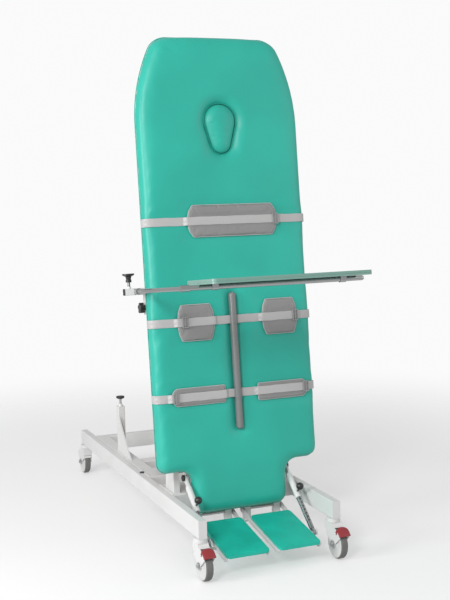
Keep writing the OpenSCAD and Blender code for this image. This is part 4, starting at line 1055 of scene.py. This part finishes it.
class OBJECT_OT_tilt_table_pads(bpy.types.Operator):
    """Builds the grey strap pads with their piping and stitching"""

    bl_idname = "object.tilt_table_pads"
    bl_label = "Build the pads"

    def execute(self, context):
        options = context.scene.tilt_pads
        cover = vinyl("pad_vinyl", options.color, 1.2, 0.46)
        piping = vinyl("pad_piping", options.piping, 0.6, 0.4)
        thread = seam_thread("pad_thread", (0.5, 0.49, 0.48))
        for number, pad in enumerate(PADS, 1):
            strap_v = min(STRAP_V, key=lambda v: abs(v - pad[0][1]))
            self.padding(pad, number, strap_v, cover, options)
            edge = rounded(pad_outline(pad, 0.0), 0.006)
            path = [on_table(u, CUSHION_T + PAD_T * 0.5, v) for u, v in edge]
            cord = sweep(path, options.cord, closed=True)
            add_piece(f"pad_{number}_piping", cord, "table", "pad_cover", piping)
            add_piece(f"pad_{number}_stitches", self.stitching(pad, strap_v), "table", "pad_cover", thread)
        return {"FINISHED"}

    def padding(self, pad, number, strap_v, cover, options):
        """The pad itself, filled but for where the strap presses on it."""
        obj = remeshed(pad_solid(pad), f"pad_{number}_soft", options.skin)
        soften(obj, 2)

        def hold(u, n, v):
            if n < CUSHION_T + 0.004:
                return 1.0
            return clamp(1.0 - (abs(v - strap_v) - STRAP_W / 2) / 0.012)

        inflate(obj, hold, 6.0, options.reach)
        finish_soft(obj, cover, "table", ["pads"] if number == 1 else [])

    def stitching(self, pad, strap_v):
        """A row of stitches inside the edge, left out where the strap crosses."""
        line = rounded(pad_outline(pad, 0.011), 0.004)
        high = CUSHION_T + PAD_T + 0.0006
        sewn = []
        for (u0, v0), (u1, v1) in stitches(line, 0.0055, 0.0035):
            if abs((v0 + v1) / 2 - strap_v) >= STRAP_W / 2 + 0.002:
                crown = on_table((u0 + u1) / 2, high + 0.0007, (v0 + v1) / 2)
                sewn.append(sweep([on_table(u0, high, v0), crown, on_table(u1, high, v1)], 0.0005, 6))
        return joined(sewn)


class OBJECT_OT_tilt_table_straps(bpy.types.Operator):
    """Builds the three woven straps round the cushion and over the pads"""

    bl_idname = "object.tilt_table_straps"
    bl_label = "Build the straps"

    def execute(self, context):
        options = context.scene.tilt_straps
        cloth = webbing("strap_webbing", options.color)
        for number, v in enumerate(STRAP_V, 1):
            band = self.ribbon(self.path(v, options.steps), v)
            obj = add_piece(f"strap_{number}", band, "table", "webbing", cloth, TABLE)
            if number == 1:
                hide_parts("straps")
        return {"FINISHED"}

    def path(self, v, steps):
        """Inner line of the strap, from one board edge over the front to the other."""
        g = STRAP_CLEAR
        back_u = HALF_W - BOARD_INSET
        half = [(back_u - 0.040, -BOARD_T - g), (back_u + g, -BOARD_T - g)]
        half.append((HALF_W - SECTION[0][0] + g * 0.9, -g * 0.9))
        half += [(HALF_W + g, h) for _, h in SECTION[1:3]]
        half += [(HALF_W - d + g * 0.9, h + g * 0.9) for d, h in SECTION[3:6]]
        start = HALF_W - SECTION[6][0]
        flat = []
        for i in range(steps + 1):
            u = start * (1 - 2 * i / steps)
            flat.append((u, face_height(HALF_W - abs(u)) + self.rise(u, v) + g))
        return half + flat + [(-u, n) for u, n in reversed(half)]

    def rise(self, u, v):
        """How far the pads lift the strap."""
        best = 0.0
        for (cu, cv), (length, _), _ in PADS:
            if abs(cv - v) < STRAP_W:
                t = clamp(1.0 - (abs(u - cu) - length) / 0.016)
                best = max(best, (PAD_T + SEAT) * t * t * (3 - 2 * t))
        return best

    def ribbon(self, path, v):
        """A woven band with a rounded selvedge on both sides."""
        shape = [
            (-1.0, 0.5), (-0.97, 0.12), (-0.9, 0.0), (0.0, 0.04), (0.9, 0.0), (0.97, 0.12), (1.0, 0.5),
            (0.97, 0.88), (0.9, 1.0), (0.45, 0.93), (0.0, 0.97), (-0.45, 0.93), (-0.9, 1.0), (-0.97, 0.88),
        ]
        rings = []
        count = len(path)
        for i, (u, n) in enumerate(path):
            before, after = path[max(0, i - 1)], path[min(count - 1, i + 1)]
            along = Vector((after[0] - before[0], after[1] - before[1])).normalized()
            out = Vector((along.y, -along.x))
            ripple = 0.0004 * math.sin(i * 0.21 + v * 9.0) + 0.0003 * math.sin(i * 0.083 + v * 31.0)
            rings.append([
                Vector((u + out.x * STRAP_T * t, -(n + out.y * STRAP_T * t), v + w * STRAP_W / 2 + ripple))
                for w, t in shape
            ])
        return rings_mesh(rings)


class OBJECT_OT_tilt_table_fasteners(bpy.types.Operator):
    """Adds bolts, nuts, screws and tube caps"""

    bl_idname = "object.tilt_table_fasteners"
    bl_label = "Add the fasteners"

    def execute(self, context):
        finishes(context.scene.tilt_paint)
        self.shaft_ends()
        self.tube_caps()
        self.tray_screws()
        self.caster_nuts()
        self.strut_caps()
        self.knob_stud()
        self.board_screws()
        return {"FINISHED"}

    def shaft_ends(self):
        """A cap and a bolt on both ends of the tilt shaft."""
        profile = [
            (0.0155, -0.002), (0.0185, 0.0), (0.0185, 0.0022),
            (0.0165, 0.0036), (0.006, 0.0042), (0.0001, 0.0042),
        ]
        x, y, z = SHAFT_END
        for name, side in SIDES:
            out = Vector((side, 0, 0))
            end = BASE @ Vector((side * x, y, z))
            lathe(f"shaft_cap_{name}", profile, facing(end, out), "zinc_steel", "table")
            hex_bolt(f"shaft_bolt_{name}", facing(end + out * 0.004, out, 0.2), 0.013, 0.0055, "table")

    def tube_caps(self):
        """Plugs in the open ends of the frame's side tubes, the hangers and the arm's sleeve."""
        for name, side in SIDES:
            for end, v, up in (("low", TUBE_LOW_V, -1), ("top", TUBE_TOP_V, 1)):
                at = (side * TUBE_U, TUBE_Y, v)
                self.tube_cap(f"frame_cap_{name}_{end}", at, (0, 0, up), TUBE_D, "table")
            for k, u in enumerate(HANGER_U):
                at = (side * u, HANGER_Y, HANGER_V)
                self.tube_cap(f"hanger_cap_{name}_{k}", at, (0, 0, -1), HANGER_D, "table")
        at = (SLEEVE_END_U, SLEEVE_Y, ARM_V)
        self.tube_cap("sleeve_cap", at, (-1, 0, 0), SLEEVE_D, "tray_carriage", 0.002)

    def tube_cap(self, name, at, way, size, body, deep=0.010):
        """A square plug with a rim, at a place of the tabletop's own frame."""
        wall, wall_r = 0.0030, 0.002
        rim, rim_r = 0.0004, 0.0038
        rings = [
            rounded_loop(0, 0, size / 2 - inset, size / 2 - inset, r, h, 4)
            for inset, h, r in (
                (wall, -deep, wall_r), (wall, 0.0, wall_r), (rim, 0.0, rim_r),
                (rim, 0.0014, rim_r), (0.0016, 0.0026, 0.003),
            )
        ]
        matrix = TABLE @ facing(at, way)
        add_piece(name, rings_mesh(rings), body, "black_rubber", matrix=matrix, split=30.0)

    def tray_screws(self):
        """Screws through the tray into its clips."""
        face = ARM_V + ARM_D / 2 + SEAT + TRAY_T - TRAY_DISH
        for name, side in SIDES:
            for k, off in enumerate((-CLIP_SCREW, CLIP_SCREW)):
                at = on_table(TRAY_U + side * (TRAY_W / 2 - CLIP_IN) + off, TRAY_N, face)
                dome_screw(f"tray_screw_{name[0]}{k}", facing(at, ALONG), 0.0075, 0.0022, "tray")

    def caster_nuts(self):
        """A nut on both ends of each wheel's axle."""
        for key in CASTERS:
            for end, s in ENDS:
                at = facing(axle(key, s * FORK_HALF_W), (s, 0, 0), 0.3)
                hex_bolt(f"caster_nut_{key}_{end}", at, 0.017, 0.006, f"fork_{key}")

    def strut_caps(self):
        """Black caps on the outer ends of the struts' upper pins."""
        profile = [
            (0.0121, -0.0066), (0.0131, -0.0066), (0.0133, 0.0002),
            (0.0122, 0.0022), (0.0090, 0.0034), (0.0001, 0.0038),
        ]
        u, n, v = STRUT_PIN
        for name, side in SIDES:
            at = facing(on_table(side * u, n, v), (side, 0, 0))
            lathe(f"strut_cap_{name}", profile, at, "black_rubber", "table")

    def knob_stud(self):
        """Threaded stud between the sleeve's boss and the mushroom knob."""
        pitch = 0.00125
        profile = [(0.0052, 0.0)]
        for k in range(14):
            profile += [(0.0054, 0.0003 + k * pitch), (0.0061, 0.0009 + k * pitch)]
        profile.append((0.0052, 0.0176))
        at = facing(on_table(KNOB_U, -SLEEVE_Y, ARM_V + KNOB_BOSS), ALONG)
        lathe("knob_stud", profile, at, "zinc_steel", "arm_knob", 32)

    def board_screws(self):
        """Screws through the frame's tubes into the board, seen from the back."""
        first_v, pitch = 0.36, 0.225
        for name, side in SIDES:
            for k in range(8):
                at = on_table(side * TUBE_U, -TUBE_Y - TUBE_D / 2, first_v + k * pitch)
                dome_screw(f"board_screw_{name[0]}{k}", facing(at, BACKWARD), 0.010, 0.0026, "table")


def axle(key, out=0.0):
    """The middle of a wheel at rest, or a point out along its axle."""
    side, back = CASTERS[key]
    return BASE @ Vector((side * BASE_X + out, BASE_L + AXLE_OUT if back else -AXLE_OUT, AXLE_Z))


class OBJECT_OT_tilt_table_trim(bpy.types.Operator):
    """Adds rims, seams, rings, covers, pedals and weld beads"""

    bl_idname = "object.tilt_table_trim"
    bl_label = "Add the trim"

    def execute(self, context):
        finishes(context.scene.tilt_paint)
        self.foot_welts()
        self.tray_edge()
        self.welds()
        self.box_details()
        self.actuator_details()
        self.wheel_covers()
        self.pedals()
        return {"FINISHED"}

    def foot_welts(self):
        """The low rolled border of each foot mat."""
        for name, side in SIDES:
            path = rounded_loop(side * MAT_X, MAT_Y, MAT_W / 2, MAT_L / 2, MAT_CORNER, MAT_TOP)
            rim = sweep(path, 0.0014, 8, closed=True)
            add_piece(f"foot_welt_{name}", rim, f"foot_{name}", "foot_cover", matrix=FOOT)

    def tray_edge(self):
        """A thin lipping round the tray's edge."""
        middle = ARM_V + ARM_D / 2 + SEAT + TRAY_T / 2
        path = rounded_loop(TRAY_U, -TRAY_N, TRAY_W / 2, TRAY_L / 2, TRAY_CORNER, middle)
        strip = sweep(path, 0.0014, 8, closed=True)
        add_piece("tray_lipping", strip, "tray", "tray_laminate", matrix=TABLE)

    def welds(self):
        """Beads where the base's tubes meet, and round the feet of the uprights and posts."""
        flush, proud, short = RAIL_TOP + 0.0002, RAIL_TOP + 0.0006, 0.004
        rail = BASE_X - RAIL_W / 2
        x0, x1, y0, y1 = 0.242, 0.267, 0.4016, 0.5116
        post_x0, post_x1, post_y0, post_y1 = 0.228, 0.264, 1.215, 1.255
        beads = []
        for _, side in SIDES:
            for front, back in CROSS_MEMBERS:
                beads.append(weld((side * rail, front + short), (side * rail, back - short), flush))
            for ax, ay, bx, by in (
                (x0, y0, x1, y0), (x0, y1, x1, y1), (x0, y0, x0, y1),
                (post_x0, post_y0, post_x1, post_y0), (post_x0, post_y1, post_x1, post_y1),
            ):
                beads.append(weld((side * ax, ay), (side * bx, by), proud))
        add_piece("weld_beads", joined(beads), "base", "base_paint", matrix=BASE)

    def box_details(self):
        """Lid joint and screws of the control box."""
        low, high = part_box("control_box")
        lid = 0.046
        corners = [(low.x, low.y), (high.x, low.y), (high.x, high.y), (low.x, high.y)]
        path = [Vector((x, y, low.z + lid)) for x, y in corners]
        edges = [sweep([a, a.lerp(b, 0.5), b], 0.0012, 8) for a, b in zip(path, path[1:] + path[:1])]
        add_piece("box_joint", joined(edges), "base", "box_plastic")
        inset = 0.01
        xs, ys = (low.x + inset, high.x - inset), (low.y + inset, high.y - inset)
        for k, (x, y) in enumerate((x, y) for y in ys for x in xs):
            dome_screw(f"box_screw_{k}", facing((x, y, high.z), (0, 0, 1)), 0.007, 0.0018, "base")

    def actuator_details(self):
        """Clamping rings on the actuator's tube and the nuts on its front pin."""
        (rear_y, rear_z), (front_y, front_z) = ACTUATOR_REAR, ACTUATOR_FRONT
        rise = math.atan2(front_z - rear_z, rear_y - front_y)
        along = Vector((0, -math.cos(rise), math.sin(rise)))
        rear = BASE @ Vector((0, rear_y, rear_z))
        profile = [
            (0.0249, -0.004), (0.0272, -0.004), (0.0276, -0.003),
            (0.0276, 0.003), (0.0272, 0.004), (0.0249, 0.004),
        ]
        for k, distance in enumerate((0.075, 0.210, 0.346)):
            at = facing(rear + along * distance, along)
            lathe(f"actuator_ring_{k}", profile, at, "actuator_dark", "actuator_tube", 48)
        pin = rear + along * ACTUATOR_L
        for end, s in ENDS:
            at = facing(pin + Vector((s * 0.0155, 0, 0)), (s, 0, 0))
            hex_bolt(f"actuator_pin_{end}", at, 0.019, 0.006, "actuator_rod")

    def wheel_covers(self):
        """Pale covers over both sides of each wheel, dished round the hub."""
        profile = [
            (0.0136, 0.0150), (0.0136, 0.0170), (0.0165, 0.0170), (0.0190, 0.0160),
            (0.0300, 0.0157), (0.0470, 0.0161), (0.0485, 0.0166), (0.0560, 0.0166),
            (0.0576, 0.0158), (0.0576, 0.0146), (0.0560, 0.0150),
        ]
        for key in CASTERS:
            for end, s in ENDS:
                lathe(
                    f"wheel_cover_{key}_{end}", profile, facing(axle(key), (s, 0, 0)),
                    "wheel_plastic", f"wheel_{key}", 72, 28.0, ring=True)

    def pedals(self):
        """Domed brake pedals on two short arms, with grip ribs."""
        paths = []
        for degrees in (120, 125, 130, 135):
            rib = [pedal_point(x, 0.0805 - 0.0014 * abs(x) / 0.017, degrees) for x in (-0.017, 0.0, 0.017)]
            paths.append((rib, 0.0009))
        for x in (-0.0240, 0.0240):
            for degrees in (117, 119, 121, 123):
                arm = [pedal_point(x, r, degrees) for r in (PEDAL_PIN_R, 0.068, 0.0765)]
                paths.append((arm, 0.0012))
            boss = [pedal_point(x + out, PEDAL_PIN_R, PEDAL_PIN_DEGREES) for out in (-0.0013, 0.0, 0.0013)]
            paths.append((boss, 0.0058))
        shape = joined([rings_mesh(self.tread())] + [sweep(path, radius, 12) for path, radius in paths])
        for name, side in SIDES:
            place = BASE @ Matrix.Translation((side * BASE_X, 0, 0))
            obj = add_piece(f"pedal_{name}", shape, f"pedal_{name}", "pedal_red", matrix=place, split=40.0)
            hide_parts(f"brake_pedal_{name}")

    def tread(self):
        """Cross sections of the pedal's curved plate, narrow at its top and rounded at its toe."""
        rings = []
        for k in range(25):
            t = k / 24
            top, low = max(0.0, 1 - t / 0.42), max(0.0, (t - 0.94) / 0.06)
            half = 0.0252 * (1 - 0.62 * top ** 2.2) + 0.0012 * t - 0.0012 * low
            thick = 0.0024 * (1 - 0.5 * max(top - 0.8, 0.0) / 0.2 - 0.5 * low)
            ring = []
            for q in angles(16):
                c, d = math.cos(q), math.sin(q)
                x = half * math.copysign(abs(c) ** 0.22, c)
                lift = 0.0022 * (1 - (x / 0.026) ** 2)
                r = 0.0768 + lift + thick * math.copysign(abs(d) ** 0.7, d)
                ring.append(pedal_point(x, r, 110.5 + 34.5 * t))
            rings.append(ring)
        return rings


def pedal_point(x, r, degrees):
    """A point round a front wheel's axle, which lies in front of the rails."""
    a = math.radians(degrees)
    return Vector((x, -AXLE_OUT + r * math.cos(a), AXLE_Z + r * math.sin(a)))


class OBJECT_OT_tilt_table_stage(bpy.types.Operator):
    """Builds the pale floor, the lights and the camera"""

    bl_idname = "object.tilt_table_stage"
    bl_label = "Build the stage"

    def execute(self, context):
        options = context.scene.tilt_stage
        self.floor()
        self.world(options.sky)
        self.lights(options)
        self.camera(options.lens)
        context.scene.view_settings.view_transform = "Standard"
        return {"FINISHED"}

    def floor(self):
        """A pale floor that fades out round the table."""
        s = Shader("floor")
        radius = (s.x * s.x + s.y * s.y) ** 0.5
        material = s.finish(
            Base_Color=s.mix(s.noise(2.0, 1.0), (0.86, 0.86, 0.86, 1.0), (0.87, 0.87, 0.87, 1.0)),
            Roughness=0.8,
            Specular_IOR_Level=0.1,
            Alpha=0.6 * (1.0 - radius.smooth(1.5, 4.2)),
        )
        half = 7.0
        corners = [(-half, -half, 0), (half, -half, 0), (half, half, 0), (-half, half, 0)]
        obj = add_mesh("floor", (corners, [(0, 1, 2, 3)]), material)

    def world(self, sky):
        """White behind the object, and a softer white light from all round."""
        world = bpy.data.worlds.new("surround")
        bpy.context.scene.world = world
        world.use_nodes = True
        tree = world.node_tree
        tree.nodes.clear()
        kinds = ("LightPath", "Background", "Background", "MixShader", "OutputWorld")
        path, seen, lit, mixed, out = (tree.nodes.new(f"ShaderNode{kind}") for kind in kinds)
        for node, grey, strength in ((seen, 0.96, 1.0), (lit, 1.0, sky)):
            node.inputs["Color"].default_value = (grey, grey, grey, 1.0)
            node.inputs["Strength"].default_value = strength
        tree.links.new(path.outputs["Is Camera Ray"], mixed.inputs["Fac"])
        tree.links.new(lit.outputs["Background"], mixed.inputs[1])
        tree.links.new(seen.outputs["Background"], mixed.inputs[2])
        tree.links.new(mixed.outputs["Shader"], out.inputs["Surface"])

    def lights(self, options):
        """Key from the left and front, fill from the right, and a side light from the left."""
        for name, place, aim, power, size in (
            ("key", (-3.4, -4.2, 3.6), (0, -0.4, 0.9), options.key, 1.3),
            ("fill", (3.6, -3.2, 2.2), (0, -0.4, 0.8), options.fill, 3.0),
            ("side", (-4.4, -1.2, 1.9), (0, -0.3, 0.9), options.side, 1.8),
        ):
            data = bpy.data.lights.new(name, "AREA")
            data.energy = power
            data.shape = "RECTANGLE"
            data.size = size
            data.size_y = size
            lamp = linked(name, data)
            lamp.location = place
            lamp.rotation_mode = "QUATERNION"
            lamp.rotation_quaternion = (Vector(aim) - Vector(place)).to_track_quat("-Z", "Y")

    def camera(self, lens):
        """The photograph's camera: its place over the base and its turn were solved on the photograph."""
        place = BASE @ Vector((-1.7314, -3.8217, 1.5347))
        yaw, pitch, roll = (math.radians(turn) for turn in (22.125, -6.105, -1.357))
        ahead = Vector((math.sin(yaw) * math.cos(pitch), math.cos(yaw) * math.cos(pitch), math.sin(pitch)))
        across = Vector((math.cos(yaw), -math.sin(yaw), 0))
        above = across.cross(ahead)
        right = math.cos(roll) * across + math.sin(roll) * above
        up = -math.sin(roll) * across + math.cos(roll) * above
        data = bpy.data.cameras.new("camera")
        data.sensor_width = 36.0
        data.lens = lens
        data.clip_start = 0.05
        data.clip_end = 60.0
        obj = linked("camera", data)
        obj.matrix_world = Matrix.Translation(place) @ Matrix((right, up, -ahead)).transposed().to_4x4()
        bpy.context.scene.camera = obj


OPERATORS = (
    OBJECT_OT_tilt_table_stage,
    OBJECT_OT_tilt_table_frame,
    OBJECT_OT_tilt_table_cushion,
    OBJECT_OT_tilt_table_plug,
    OBJECT_OT_tilt_table_pads,
    OBJECT_OT_tilt_table_straps,
    OBJECT_OT_tilt_table_fasteners,
    OBJECT_OT_tilt_table_trim,
)
OPTIONS = {
    "tilt_cushion": CushionOptions,
    "tilt_pads": PadOptions,
    "tilt_straps": StrapOptions,
    "tilt_paint": PaintOptions,
    "tilt_stage": StageOptions,
}


class VIEW3D_PT_tilt_table(bpy.types.Panel):
    """Sidebar panel with the table's builders and their options"""

    bl_label = "Tilt table"
    bl_idname = "VIEW3D_PT_tilt_table"
    bl_space_type = "VIEW_3D"
    bl_region_type = "UI"
    bl_category = "Tilt table"

    def draw(self, context):
        for operator in OPERATORS:
            self.layout.operator(operator.bl_idname)
        for name, kind in OPTIONS.items():
            group = getattr(context.scene, name)
            box = self.layout.box()
            for key in kind.__annotations__:
                box.prop(group, key)


CLASSES = (*OPTIONS.values(), *OPERATORS, VIEW3D_PT_tilt_table)


def register():
    for item in CLASSES:
        bpy.utils.register_class(item)
    for name, kind in OPTIONS.items():
        setattr(bpy.types.Scene, name, PointerProperty(type=kind))


def unregister():
    for name in OPTIONS:
        delattr(bpy.types.Scene, name)
    for item in reversed(CLASSES):
        bpy.utils.unregister_class(item)


def main():
    register()
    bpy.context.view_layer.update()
    for operator in OPERATORS:
        group, name = operator.bl_idname.split(".")
        getattr(getattr(bpy.ops, group), name)()


if __name__ == "__main__":
    main()
